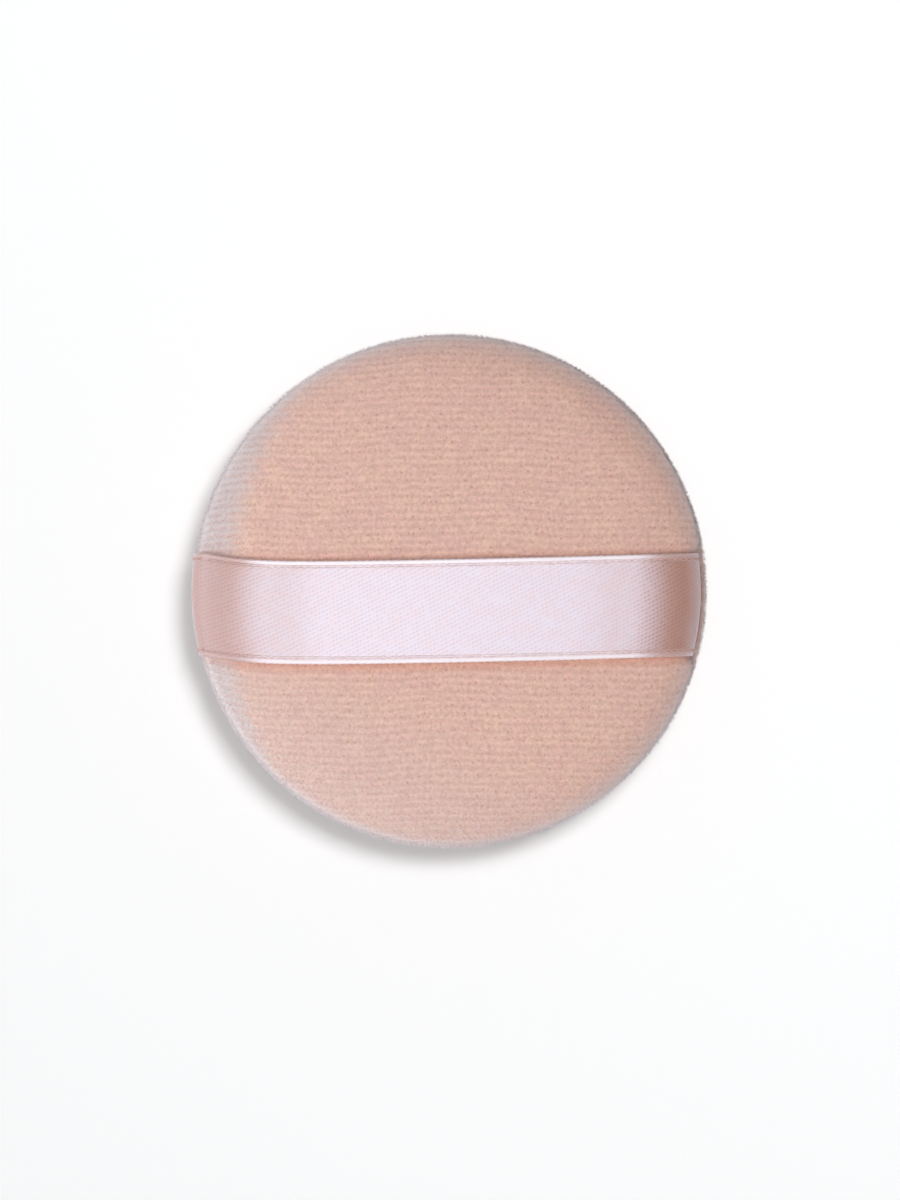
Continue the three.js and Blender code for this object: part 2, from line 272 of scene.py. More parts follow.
def node_tree(
    kind: str, name: str, inputs: dict[str, str], outputs: dict[str, str],
) -> tuple[Sketch, bpy.types.Node, bpy.types.Node]:
    """Starts a tree of nodes with named sockets.

    Args:
        kind: Shader or Geometry.
        name: The tree's name.
        inputs: Types of its inputs, by name: Vector, Float and so on.
        outputs: Types of its outputs, by name.

    Returns:
        The tree's sketch, its input node and its output node.
    """
    tree = bpy.data.node_groups.new(name, f"{kind}NodeTree")
    for way, sockets in (("INPUT", inputs), ("OUTPUT", outputs)):
        for socket, value in sockets.items():
            tree.interface.new_socket(socket, in_out=way, socket_type=f"NodeSocket{value}")
    sketch = Sketch(tree)
    return sketch, sketch.add("NodeGroupInput"), sketch.add("NodeGroupOutput")


class SharedEffects:
    """Node groups that more than one finish uses, each built once."""

    def __init__(self) -> None:
        """Builds the groups."""
        self.patches = self.tint_patches()
        self.lattice = self.lattice_dots()

    @staticmethod
    def tint_patches() -> bpy.types.NodeTree:
        """Builds soft patches of two tints, as cloth and foam take up dye.

        Returns:
            The group: Vector, Scale, Tint and Other Tint in, Color and Patch out.
        """
        sketch, start, end = node_tree(
            "Shader", "tint_patches",
            {"Vector": "Vector", "Scale": "Float", "Tint": "Color", "Other Tint": "Color"},
            {"Color": "Color", "Patch": "Float"})
        value = start.outputs
        noise = sketch.add("ShaderNodeTexNoise", {
            "Vector": value["Vector"], "Scale": value["Scale"], "Detail": 3.0, "Roughness": 0.55,
        })
        patch = sketch.ramp(noise.outputs["Fac"], 0.36, 0.64)
        sketch.feed(end.inputs["Color"], sketch.mix(patch, value["Tint"], value["Other Tint"]))
        sketch.feed(end.inputs["Patch"], patch)
        return sketch.tree

    @staticmethod
    def lattice_dots() -> bpy.types.NodeTree:
        """Builds dots of uneven strength at the middles of a lattice's cells, and ridges along its rows.

        Returns:
            The group: Vector in cells, Size, Scatter and Share in, Dots and Ridges out.
        """
        sketch, start, end = node_tree(
            "Shader", "lattice_dots",
            {"Vector": "Vector", "Size": "Float", "Scatter": "Float", "Share": "Float"},
            {"Dots": "Float", "Ridges": "Float"})
        value = start.outputs
        softness = 0.25
        cells = sketch.add("ShaderNodeTexVoronoi", {
            "Vector": value["Vector"], "Scale": 1.0, "Randomness": value["Scatter"],
        }, voronoi_dimensions="2D", feature="F1")
        round_dot = sketch.ramp(cells.outputs["Distance"], 0.0, value["Size"], 1.0, 0.0)
        chance = sketch.add("ShaderNodeSeparateColor", {"Color": cells.outputs["Color"]}).outputs["Red"]
        rare = sketch.math("SUBTRACT", 1.0, value["Share"])
        low, high = (sketch.math(way, rare, softness) for way in ("SUBTRACT", "ADD"))
        strength = sketch.ramp(chance, low, high)
        sketch.feed(end.inputs["Dots"], sketch.math("MULTIPLY", round_dot, strength))
        row = sketch.add("ShaderNodeSeparateXYZ", {0: value["Vector"]}).outputs["Y"]
        wave = sketch.math("COSINE", sketch.math("MULTIPLY", row, 2 * math.pi))
        sketch.feed(end.inputs["Ridges"], sketch.math("MULTIPLY_ADD", wave, 0.5))
        return sketch.tree


@dataclass(frozen=True)
class Finish:
    """What every finish has: the shared effects, and ways to start a material and to place them in it."""

    effects: SharedEffects

    def start(
        self, name: str, constants: dict[str, Any],
    ) -> tuple[bpy.types.Material, Sketch, bpy.types.Node]:
        """Starts a material with its constant sockets set.

        Args:
            name: The material's name.
            constants: Values of the shader's sockets, by name.

        Returns:
            The material, its sketch and its shader.
        """
        material = bpy.data.materials.new(name)
        material.use_nodes = True
        sketch = Sketch(material.node_tree)
        shader = material.node_tree.nodes["Principled BSDF"]
        for socket, value in constants.items():
            shader.inputs[socket].default_value = value
        return material, sketch, shader

    def patches(
        self, sketch: Sketch, vector: Any, scale: float, tint: Colour, other: Colour,
    ) -> bpy.types.Node:
        """Places the tint patches in a material, with their scale and two tints."""
        inputs = {"Vector": vector, "Scale": scale, "Tint": tint, "Other Tint": other}
        return sketch.add("ShaderNodeGroup", inputs, node_tree=self.effects.patches)

    def lattice(
        self, sketch: Sketch, vector: Any, size: float, scatter: float, share: float,
    ) -> bpy.types.Node:
        """Places the lattice in a material, with its dots' size, scatter and share of the cells."""
        inputs = {"Vector": vector, "Size": size, "Scatter": scatter, "Share": share}
        return sketch.add("ShaderNodeGroup", inputs, node_tree=self.effects.lattice)


@dataclass(frozen=True)
class VelourFinish(Finish):
    """Peach velour: the knitted ground and the cut pile that stands on it."""

    pink: Colour = srgb(225, 187, 175)
    beige: Colour = srgb(227, 192, 176)
    # Painted sheen: a grey-lavender laid on the pile along the rim, most on the left
    painted_sheen: Colour = srgb(201, 199, 204)
    # Painted rim sheen: a pale veil at the very rim
    rim_sheen: Colour = srgb(240, 229, 226)
    # Painted shade in the knit's furrows and pits
    furrow_shade: Colour = srgb(194, 138, 120)
    pit_shade: Colour = srgb(170, 96, 76)
    # Painted shade beside and under the ribbon, as a multiplier
    ribbon_shade_tint: Colour = (0.955, 0.795, 0.735, 1.0)
    # Pale fibre tips, a painted sheen
    tip: Colour = srgb(226, 214, 216)
    sheen_tint: Colour = srgb(226, 226, 238)
    patch_scale: float = 330.0
    grain_scale: float = 1900.0
    grain_levels: tuple[float, float] = (0.91, 1.075)
    tone_levels: tuple[float, float] = (0.95, 1.04)
    pit_size: float = 0.26
    pit_scatter: float = 0.8
    pit_share: float = 0.45
    pit_shade_strength: float = 0.42
    ridge_height: float = 0.6
    break_scale: float = 0.9
    break_heights: tuple[float, float] = (-0.05, 0.45)
    furrow_shade_strength: float = 0.26
    tip_sheen: float = 0.9

    def body(self, sketch: Sketch) -> bpy.types.NodeSocket:
        """Mixes the dye's patches, the fibres' grain, a painted sheen on the rim, most on the left, a pale
        painted rim sheen and a painted shade beside the ribbon.

        Args:
            sketch: The material's sketch.

        Returns:
            The colour. It reads the stored shares of the painted sheen, the painted rim sheen and the painted
            shade beside the ribbon.
        """
        place = sketch.place()
        tint = self.patches(sketch, place, self.patch_scale, self.pink, self.beige).outputs["Color"]
        noise = sketch.noise(place, self.grain_scale, detail=1.0)
        grain = sketch.ramp(noise, *NOISE_SPAN, *self.grain_levels)
        # Painted sheen along the rim, most on the left
        fibre = sketch.mix(sketch.number("sheen_mask"), sketch.shade(tint, grain), self.painted_sheen)
        # Pale painted rim sheen at the very rim
        edge = sketch.mix(sketch.number("rim_sheen"), fibre, self.rim_sheen)
        # Painted shade beside and under the ribbon
        return sketch.mix(sketch.number("ribbon_shade"), edge, self.ribbon_shade_tint, "MULTIPLY")

    def ground(self) -> bpy.types.Material:
        """Builds the ground, which has the rows of the knit, with painted shade in its furrows and pits.

        Returns:
            The material. It reads the attribute cloth, in stitches of the knit, and those of the body.
        """
        material, sketch, shader = self.start("velour_ground", {
            "Roughness": 1.0, "Specular IOR Level": 0.1, "Sheen Weight": 1.0, "Sheen Roughness": 0.42,
            "Sheen Tint": self.sheen_tint,
        })
        cloth = sketch.vector("cloth")
        knit = self.lattice(sketch, cloth, self.pit_size, self.pit_scatter, self.pit_share).outputs
        noise = sketch.noise(cloth, self.break_scale, detail=2.0)
        breaks = sketch.ramp(noise, *NOISE_SPAN, *self.break_heights)
        ridge = sketch.math("MULTIPLY_ADD", knit["Ridges"], self.ridge_height, breaks)
        # Painted shade in the furrows between the rows of the knit
        furrow_shade = sketch.ramp(ridge, 0.0, 0.75, self.furrow_shade_strength, 0.0)
        rows = sketch.mix(furrow_shade, self.body(sketch), self.furrow_shade)
        # Painted shade in the pits between the tufts
        pits = sketch.math("MULTIPLY", knit["Dots"], self.pit_shade_strength)
        sketch.feed(shader.inputs["Base Color"], sketch.mix(pits, rows, self.pit_shade))
        sketch.bump(shader, ridge, strength=0.25, distance=0.0002)
        return material

    def pile(self) -> bpy.types.Material:
        """Builds the finish of the pile's fibres, whose tips are painted pale as a sheen.

        Returns:
            The material. It reads the attributes tip, from root to end, tone, of each tuft, and those
            of the body.
        """
        material, sketch, shader = self.start("velour_pile", {
            "Roughness": 0.9, "Specular IOR Level": 0.1, "Sheen Weight": 1.0, "Sheen Roughness": 0.45,
            "Sheen Tint": self.sheen_tint,
        })
        tone = sketch.ramp(sketch.number("tone"), 0.0, 1.0, *self.tone_levels)
        fibre = sketch.shade(self.body(sketch), tone)
        # Painted sheen: the fibres pale towards their tips
        pale = sketch.ramp(sketch.number("tip"), 0.2, 1.0, 0.0, self.tip_sheen)
        sketch.feed(shader.inputs["Base Color"], sketch.mix(pale, fibre, self.tip))
        return material


@dataclass(frozen=True)
class SatinFinish(Finish):
    """Pink satin, woven with long floats that bind at a slanted lattice of points."""

    warm: Colour = srgb(229, 199, 205)
    cool: Colour = srgb(227, 203, 212)
    binding: Colour = srgb(190, 150, 157)
    # Painted shade: multiplies the face where the ribbon slopes away towards its ends
    turned: Colour = (0.68, 0.475, 0.335, 1.0)
    # Pale woven edge: partly its own colour, partly a painted highlight
    selvedge_and_highlight: Colour = srgb(243, 224, 227)
    pale_yarn: Colour = srgb(240, 214, 212)
    deep_yarn: Colour = srgb(226, 192, 188)
    # Painted shade on the edge loops towards the ends
    end_shade: Colour = srgb(200, 152, 138)
    gloss: Colour = srgb(246, 248, 255)
    bloom: Colour = srgb(216, 224, 240)
    patch_scale: float = 420.0
    yarn_patch_scale: float = 900.0
    point_size: float = 0.5
    point_scatter: float = 0.12
    point_share: float = 0.75
    point_shade: float = 0.26
    ridge_shade: float = 0.14
    # Painted shade of the binding points grows by this where the ribbon slopes
    slope_point_shade_gain: float = 1.1
    roughness: tuple[float, float] = (0.35, 0.5)

    def cloth(self) -> bpy.types.Material:
        """Builds the ribbon's face.

        Returns:
            The material. It reads the attributes weave, places in cells of the lattice of binding
            points and how far a point takes the pale woven edge with its painted highlight, and two
            painted shades, on the binding points where the ribbon slopes and on the face near its ends.
        """
        material, sketch, shader = self.start("satin_ribbon", {
            "Specular IOR Level": 0.8, "IOR": 1.5, "Specular Tint": self.gloss, "Sheen Weight": 0.7,
            "Sheen Roughness": 0.5, "Sheen Tint": self.bloom,
        })
        weave = sketch.vector("weave")
        tint = self.patches(sketch, sketch.place(), self.patch_scale, self.warm, self.cool).outputs["Color"]
        points = self.lattice(sketch, weave, self.point_size, self.point_scatter, self.point_share).outputs
        ridge, dot = points["Ridges"], points["Dots"]
        dark_dot = sketch.math("MULTIPLY", dot, self.point_shade)
        depth = sketch.math("MULTIPLY_ADD", ridge, self.ridge_shade, dark_dot)
        # Painted shade: the binding points darken more where the ribbon slopes
        spread = sketch.math("MULTIPLY_ADD", sketch.number("slope_point_shade"), self.slope_point_shade_gain, 1.0)
        face = sketch.mix(sketch.math("MULTIPLY", depth, spread), tint, self.binding)
        # Painted shade: the face darkens where the ribbon turns down towards its ends
        face = sketch.mix(sketch.number("turned"), face, self.turned, "MULTIPLY")
        # Pale woven edge, partly its own colour and partly a painted highlight
        edge = sketch.add("ShaderNodeSeparateXYZ", {0: weave}).outputs["Z"]
        sketch.feed(shader.inputs["Base Color"], sketch.mix(edge, face, self.selvedge_and_highlight))
        sunk = sketch.math("MULTIPLY_ADD", ridge, 0.5, sketch.math("MULTIPLY", dot, 0.5))
        sketch.feed(shader.inputs["Roughness"], sketch.ramp(sunk, 0.0, 1.0, *self.roughness))
        sketch.bump(shader, sunk, strength=0.2, distance=0.00006).invert = True
        return material

    def edging(self) -> bpy.types.Material:
        """Builds the finish of the looped yarn along the ribbon's edges.

        Returns:
            The material. It reads a stored painted shade that darkens the yarn towards the ends.
        """
        material, sketch, shader = self.start("satin_edging", {
            "Roughness": 0.3, "Specular IOR Level": 1.0, "IOR": 1.62, "Specular Tint": self.gloss,
        })
        tint = self.patches(sketch, sketch.place(), self.yarn_patch_scale, self.pale_yarn, self.deep_yarn)
        # Painted shade towards the ends
        yarn = sketch.mix(sketch.number("end_shade"), tint.outputs["Color"], self.end_shade)
        sketch.feed(shader.inputs["Base Color"], yarn)
        return material


@dataclass(frozen=True)
class ThreadFinish(Finish):
    """Polyester sewing thread in the colour of the velour."""

    light: Colour = srgb(222, 170, 158)
    deep: Colour = srgb(196, 138, 126)
    patch_scale: float = 2500.0

    def thread(self) -> bpy.types.Material:
        """Builds the thread's finish.

        Returns:
            The material.
        """
        material, sketch, shader = self.start("sewing_thread", {
            "Roughness": 0.5, "Specular IOR Level": 0.5, "Sheen Weight": 0.3, "Sheen Roughness": 0.4,
        })
        tint = self.patches(sketch, sketch.place(), self.patch_scale, self.light, self.deep).outputs
        sketch.feed(shader.inputs["Base Color"], tint["Color"])
        sketch.bump(shader, tint["Patch"], strength=0.4, distance=0.00004)
        return material


@dataclass(frozen=True)
class FoamFinish(Finish):
    """Cream foam with open pores."""

    light: Colour = srgb(243, 234, 217)
    deep: Colour = srgb(226, 210, 186)
    # Painted shade in the pores
    pore_shade: Colour = srgb(176, 152, 122)
    patch_scale: float = 180.0
    pore_scale: float = 1400.0
    pore_shade_strength: float = 0.8

    def foam(self) -> bpy.types.Material:
        """Builds the foam's finish.

        Returns:
            The material.
        """
        material, sketch, shader = self.start("foam", {"Roughness": 0.95, "Specular IOR Level": 0.2})
        place = sketch.place()
        tint = self.patches(sketch, place, self.patch_scale, self.light, self.deep).outputs["Color"]
        cells = sketch.add("ShaderNodeTexVoronoi", {"Vector": place, "Scale": self.pore_scale})
        pores = cells.outputs["Distance"]
        # Painted shade in the pores
        dark = sketch.ramp(pores, 0.1, 0.45, self.pore_shade_strength, 0.0)
        sketch.feed(shader.inputs["Base Color"], sketch.mix(dark, tint, self.pore_shade))
        sketch.bump(shader, pores, strength=0.7, distance=0.0003)
        return material


@dataclass(frozen=True)
class PuffForm:
    """Sizes of the puff in millimetres, as its solids have them but for the ribbon's bow and pull angles."""

    pad_radius: float = 40.0
    pad_height: float = 15.0
    seam_height: float = 7.2
    upper_setback: float = 0.3
    lip_draw_in: float = 0.7
    lip_rise: float = 0.5
    fullness: float = 2.6
    resting_sink: float = 0.5
    velour: float = 1.1
    allowance: float = 6.0
    ribbon_width: float = 16.0
    ribbon_thickness: float = 0.25
    finger_gap: float = 1.6
    shoulder_inset: float = 10.5
    shoulder_drop: float = 1.5
    shoulder_ease: float = 5.0
    rim_ease: float = 4.0
    ribbon_offset: float = -2.1
    ribbon_bow: float = -1.24
    ribbon_low: float = -20.0
    bow_powers: tuple[float, float] = (3.2, 1.4)
    pull_depth: float = 1.2
    pull_half_angle: float = 12.2
    pull_fade_angle: float = 1.8
    fit: float = 0.1
    dome_points: int = 600
    lip_points: int = 13

    @property
    def seam_face(self) -> float:
        """Height of each allowance's face above the seam plane."""
        return self.ribbon_thickness / 2 + self.fit

    @property
    def allowance_top(self) -> float:
        """Height of each allowance's inner side above the seam plane."""
        return self.seam_face + self.velour

    @property
    def equator(self) -> float:
        """Height of each cover's widest line above the seam plane."""
        return self.allowance_top + self.lip_rise

    @property
    def mouth(self) -> float:
        """Radius of the seam where it opens to the outside."""
        return self.pad_radius - self.upper_setback - self.lip_draw_in

    @property
    def raw_edge(self) -> float:
        """Radius of the allowances' cut edges."""
        return self.mouth - self.allowance

    @property
    def ribbon_top(self) -> float:
        """Height of the ribbon's middle above the seam plane."""
        return self.pad_height - self.seam_height + self.finger_gap + self.ribbon_thickness / 2

    def rim(self, side: Side) -> float:
        """Gives the radius of a cover's widest line."""
        return self.pad_radius - (self.upper_setback if side is Side.UPPER else 0)

    def crown(self, side: Side) -> float:
        """Gives the height of a cover's middle above the seam plane, before it is pressed flat."""
        if side is Side.UPPER:
            return self.pad_height - self.seam_height
        return self.seam_height + self.resting_sink

    def dome(self, side: Side, inset: float, reach: float = 1.0) -> np.ndarray:
        """Draws a cover's dome from its pole to its widest line.

        Args:
            side: Which cover.
            inset: How far inside the solid's outer face the line runs.
            reach: Where the line ends, as a share of the widest radius.

        Returns:
            Points as radius and height above the seam plane.
        """
        power = 2 / self.fullness
        angle = np.linspace(np.pi / 2, math.acos(reach ** (1 / power)), self.dome_points)
        radius = (self.rim(side) - inset) * np.clip(np.cos(angle), 0, 1) ** power
        height = self.equator + (self.crown(side) - inset - self.equator) * np.sin(angle) ** power
        if side is Side.LOWER:
            height = np.minimum(height, self.seam_height - inset)
        return np.stack([radius, height], axis=1)

    def lip(self, start: float, end: float, rise: float) -> np.ndarray:
        """Draws a cover's fold from its widest line in to its allowance.

        Args:
            start: Radius at the widest line.
            end: Radius at the allowance.
            rise: Height of the fold.

        Returns:
            Points as radius and height above the seam plane, without the first one.
        """
        angle = np.linspace(0, np.pi / 2, self.lip_points)[1:]
        radius = start - (start - end) * (1 - np.cos(angle))
        return np.stack([radius, self.equator - rise * np.sin(angle)], axis=1)

    def ribbon_line(self, x: np.ndarray) -> np.ndarray:
        """Gives the Y of the ribbon's middle line, which sags between its sewn ends.

        Args:
            x: Places along the ribbon.

        Returns:
            The Y at each place.
        """
        rim = self.rim(Side.UPPER) - self.pull_depth
        left = np.clip((self.ribbon_low - x) / (rim + self.ribbon_low), 0, 1)
        right = np.clip((x - self.ribbon_low) / (rim - self.ribbon_low), 0, 1)
        left_power, right_power = self.bow_powers
        return self.ribbon_offset + self.ribbon_bow * (1 - left ** left_power - right ** right_power)

    def seam_bow(self, y: Any) -> Any:
        """Gives how far the round seam lies behind its place at y = 0."""
        rim = self.rim(Side.UPPER)
        return rim - np.sqrt(rim ** 2 - y ** 2)

    def pull(self, radius: np.ndarray, angle: np.ndarray) -> np.ndarray:
        """Gives how far the ribbon pulls the upper cover in near its right end.

        Args:
            radius: Distance from the pad's axis.
            angle: Angle round it, from +X.

        Returns:
            The inward pull in millimetres.
        """
        turned = angle - math.atan2(self.ribbon_offset, self.mouth)
        away = np.abs(np.degrees(np.arctan2(np.sin(turned), np.cos(turned))))
        around = 1 - smoothstep(away, self.pull_half_angle, self.pull_half_angle + self.pull_fade_angle)
        return self.pull_depth * around * smoothstep(radius, self.raw_edge, self.mouth)


@dataclass(frozen=True)
class Wave:
    """A waviness over flat cloth, with its depth and its lengths across and up in millimetres."""

    depth: float
    across: float = math.inf
    up: float = math.inf
    phase: float = 0.0

    def at(self, across: np.ndarray, up: np.ndarray) -> np.ndarray:
        """Gives the wave's height at places on the cloth."""
        return self.depth * np.sin(across / self.across + up / self.up + self.phase)


@dataclass(frozen=True)
class Swell:
    """Lets a cover's cloth swell over its filling, held at the seam."""

    enlargement: float = 25.0
    pressure: float = 4.0
    last_frame: int = 20
    spare_cloth: float = 0.03
    cap: float = 0.45
    rings: int = 20
    spokes: int = 72

    def shift(self, grid: np.ndarray, faces: list[list[int]], held: np.ndarray) -> np.ndarray:
        """Runs the cloth and gives how far each point moves.

        Args:
            grid: The cloth's points in millimetres, one in each row.
            faces: Its faces.
            held: How firmly each point is held, from 0 to 1.

        Returns:
            The shifts in millimetres, none longer than the cap.
        """
        piece = mesh_piece("swelling_cloth", grid * self.enlargement, faces)
        group = piece.vertex_groups.new(name="held")
        for number in np.flatnonzero(held > 0):
            group.add([int(number)], float(held[number]), "REPLACE")
        cloth = piece.modifiers.new("cloth", "CLOTH")
        settings = cloth.settings
        settings.quality = 6
        settings.mass = 0.3
        settings.tension_stiffness = 18.0
        settings.compression_stiffness = 18.0
        settings.shear_stiffness = 6.0
        settings.bending_stiffness = 0.6
        settings.use_pressure = True
        settings.uniform_pressure_force = self.pressure
        settings.shrink_min = -self.spare_cloth
        settings.vertex_group_mass = "held"
        settings.effector_weights.gravity = 0.0
        scene = bpy.context.scene
        for number in range(1, self.last_frame + 1):
            scene.frame_set(number)
        evaluated = piece.evaluated_get(bpy.context.evaluated_depsgraph_get())
        moved = np.empty(len(grid) * 3, dtype=np.float32)
        evaluated.data.vertices.foreach_get("co", moved)
        shifts = moved.reshape(-1, 3) / (MM * self.enlargement) - grid
        mesh = piece.data
        bpy.data.objects.remove(piece)
        bpy.data.meshes.remove(mesh)
        scene.frame_set(1)
        lengths = np.linalg.norm(shifts, axis=1, keepdims=True)
        return shifts * self.cap * np.tanh(lengths / self.cap) / np.maximum(lengths, 1e-9)


def grow(piece: bpy.types.Object, tree: bpy.types.NodeTree, sizes: dict[str, Any]) -> bpy.types.Object:
    """Runs a geometry tree on a piece and keeps the result as its plain mesh.

    Args:
        piece: The object that carries the points or lines.
        tree: The geometry tree.
        sizes: Values of the tree's inputs, by name.

    Returns:
        The same object.
    """
    modifier = piece.modifiers.new(tree.name, "NODES")
    modifier.node_group = tree
    for socket in tree.interface.items_tree:
        if socket.in_out == "INPUT" and socket.name in sizes:
            modifier[socket.identifier] = sizes[socket.name]
    graph = bpy.context.evaluated_depsgraph_get()
    grown = piece.evaluated_get(graph)
    mesh = bpy.data.meshes.new_from_object(grown, preserve_all_data_layers=True, depsgraph=graph)
    piece.modifiers.remove(modifier)
    carrier = piece.data
    piece.data = mesh
    mesh.name = piece.name
    bpy.data.meshes.remove(carrier)
    mesh.polygons.foreach_set("use_smooth", np.ones(len(mesh.polygons), dtype=bool))
    return piece


class Growths:
    """Geometry trees of what repeats on the puff: pile, edge loops and threads."""

    fibre_scales: tuple[float, float] = (0.75, 1.15)

    def __init__(self) -> None:
        """Builds the trees."""
        self.pile = self.pile_tree()
        self.loops = self.loop_tree()
        self.thread = self.thread_tree()

    @staticmethod
    def facing(sketch: Sketch) -> bpy.types.NodeSocket:
        """Turns an instance to stand along the attribute facing, with its X along the attribute run.

        Args:
            sketch: The tree's sketch.

        Returns:
            The rotation.
        """
        def attribute(name: str) -> bpy.types.NodeSocket:
            """Reads a stored vector."""
            node = sketch.add("GeometryNodeInputNamedAttribute", {"Name": name}, data_type="FLOAT_VECTOR")
            return node.outputs[0]

        stand = sketch.add("FunctionNodeAlignRotationToVector", {"Vector": attribute("facing")}, axis="Z")
        turned = {"Rotation": stand.outputs[0], "Vector": attribute("run")}
        return sketch.add("FunctionNodeAlignRotationToVector", turned, axis="X", pivot_axis="Z").outputs[0]

    @staticmethod
    def scatter(sketch: Sketch, kind: str, low: Any, high: Any, seed: Any) -> bpy.types.NodeSocket:
        """Adds a seeded random value.

        Args:
            sketch: The tree's sketch.
            kind: The value's type.
            low: Its lowest value.
            high: Its highest value.
            seed: The seed.

        Returns:
            The random value.
        """
        node = sketch.add("FunctionNodeRandomValue", data_type=kind)
        by_name = {}
        for socket in node.inputs:
            if socket.enabled:
                by_name[socket.name] = socket
        for name, value in {"Min": low, "Max": high, "Seed": seed}.items():
            sketch.feed(by_name[name], value)
        return next(socket for socket in node.outputs if socket.enabled)

    @staticmethod
    def close(
        sketch: Sketch, end: bpy.types.Node, grown: bpy.types.Node, material: bpy.types.NodeSocket,
    ) -> bpy.types.NodeTree:
        """Ends a tree, so that what has grown is one mesh with its material.

        Args:
            sketch: The tree's sketch.
            end: Its output node.
            grown: The node that puts out what has grown.
            material: The material's socket.

        Returns:
            The tree.
        """
        whole = sketch.add("GeometryNodeRealizeInstances", {"Geometry": grown.outputs[0]})
        dressed = sketch.add("GeometryNodeSetMaterial", {"Geometry": whole.outputs[0], "Material": material})
        sketch.feed(end.inputs[0], dressed.outputs[0])
        return sketch.tree

    def pile_tree(self) -> bpy.types.NodeTree:
        """Builds tufts of tapered fibres on stored points.

        Returns:
            The tree. Its points carry the attributes facing, run and size.
        """
        sketch, start, end = node_tree("Geometry", "velour_pile", {
            "Geometry": "Geometry", "Fibres": "Int", "Fibre Length": "Float", "Fibre Radius": "Float",
            "Tuft Width": "Float", "Tuft Depth": "Float", "Lean": "Float", "Seed": "Int",
            "Material": "Material",
        }, {"Geometry": "Geometry"})
        size = start.outputs
        variants = 4
        tone_seed = 5
        cone = sketch.add("GeometryNodeMeshCone", {
            "Vertices": 3, "Radius Top": 0.0, "Radius Bottom": size["Fibre Radius"],
            "Depth": size["Fibre Length"],
        }, fill_type="NONE")
        place = sketch.add("GeometryNodeInputPosition").outputs[0]
        height = sketch.add("ShaderNodeSeparateXYZ", {0: place}).outputs["Z"]
        fibre = sketch.add("GeometryNodeStoreNamedAttribute", {
            "Geometry": cone.outputs["Mesh"], "Name": "tip",
            "Value": sketch.math("DIVIDE", height, size["Fibre Length"]),
        }, data_type="FLOAT", domain="POINT")
        tufts = sketch.add("GeometryNodeGeometryToInstance")
        width, depth = (sketch.math("MULTIPLY", size[name], 0.5) for name in ("Tuft Width", "Tuft Depth"))
        far, near = self.span(sketch, {"X": width, "Y": depth, "Z": 0.0})
        lean, counter = self.span(sketch, {"X": size["Lean"], "Y": size["Lean"], "Z": math.pi})
        for variant in range(variants):
            seed = sketch.math("ADD", size["Seed"], float(variant * 7))
            places = sketch.add("GeometryNodePoints", {
                "Count": size["Fibres"], "Position": self.scatter(sketch, "FLOAT_VECTOR", near, far, seed),
            })
            turn_seed, scale_seed = (sketch.math("ADD", seed, step) for step in (2.0, 4.0))
            tuft = sketch.add("GeometryNodeInstanceOnPoints", {
                "Points": places.outputs[0], "Instance": fibre.outputs[0],
                "Rotation": self.scatter(sketch, "FLOAT_VECTOR", counter, lean, turn_seed),
                "Scale": self.scatter(sketch, "FLOAT", *self.fibre_scales, scale_seed),
            })
            whole = sketch.add("GeometryNodeRealizeInstances", {"Geometry": tuft.outputs[0]})
            sketch.feed(tufts.inputs[0], whole.outputs[0])
        pick = self.scatter(sketch, "INT", 0, variants - 1, size["Seed"])
        scale = sketch.add("GeometryNodeInputNamedAttribute", {"Name": "size"}, data_type="FLOAT")
        grown = sketch.add("GeometryNodeInstanceOnPoints", {
            "Points": size["Geometry"], "Instance": tufts.outputs[0], "Pick Instance": True,
            "Instance Index": pick, "Rotation": self.facing(sketch), "Scale": scale.outputs[0],
        })
        tone = self.scatter(sketch, "FLOAT", 0.0, 1.0, tone_seed)
        toned = sketch.add("GeometryNodeStoreNamedAttribute", {
            "Geometry": grown.outputs[0], "Name": "tone", "Value": tone,
        }, data_type="FLOAT", domain="INSTANCE")
        return self.close(sketch, end, toned, size["Material"])

    @staticmethod
    def span(sketch: Sketch, parts: dict[str, Any]) -> tuple[bpy.types.NodeSocket, bpy.types.NodeSocket]:
        """Gives a vector and its opposite, as the two bounds of a random one.

        Args:
            sketch: The tree's sketch.
            parts: The vector's X, Y and Z.

        Returns:
            The vector and its opposite.
        """
        far = sketch.add("ShaderNodeCombineXYZ", parts).outputs[0]
        near = sketch.add("ShaderNodeVectorMath", {0: far, "Scale": -1.0}, operation="SCALE")
        return far, near.outputs["Vector"]

    def loop_tree(self) -> bpy.types.NodeTree:
        """Builds small rings of yarn on stored points.

        Returns:
            The tree. Its points carry the attributes facing and run.
        """
        sketch, start, end = node_tree("Geometry", "edge_loops", {
            "Geometry": "Geometry", "Loop Length": "Float", "Loop Width": "Float", "Yarn Radius": "Float",
            "Material": "Material",
        }, {"Geometry": "Geometry"})
        size = start.outputs
        ring = sketch.add("GeometryNodeCurvePrimitiveCircle", {"Resolution": 10, "Radius": 0.5}).outputs[0]
        shape = sketch.add("ShaderNodeCombineXYZ", {
            "X": size["Loop Length"], "Y": size["Loop Width"], "Z": 1.0,
        })
        oval = sketch.add("GeometryNodeTransform", {"Geometry": ring, "Scale": shape.outputs[0]})
        yarn = sketch.add("GeometryNodeCurvePrimitiveCircle", {
            "Resolution": 4, "Radius": size["Yarn Radius"],
        })
        loop = sketch.add("GeometryNodeCurveToMesh", {
            "Curve": oval.outputs[0], "Profile Curve": yarn.outputs[0],
        })
        chain = sketch.add("GeometryNodeInstanceOnPoints", {
            "Points": size["Geometry"], "Instance": loop.outputs[0], "Rotation": self.facing(sketch),
        })
        return self.close(sketch, end, chain, size["Material"])

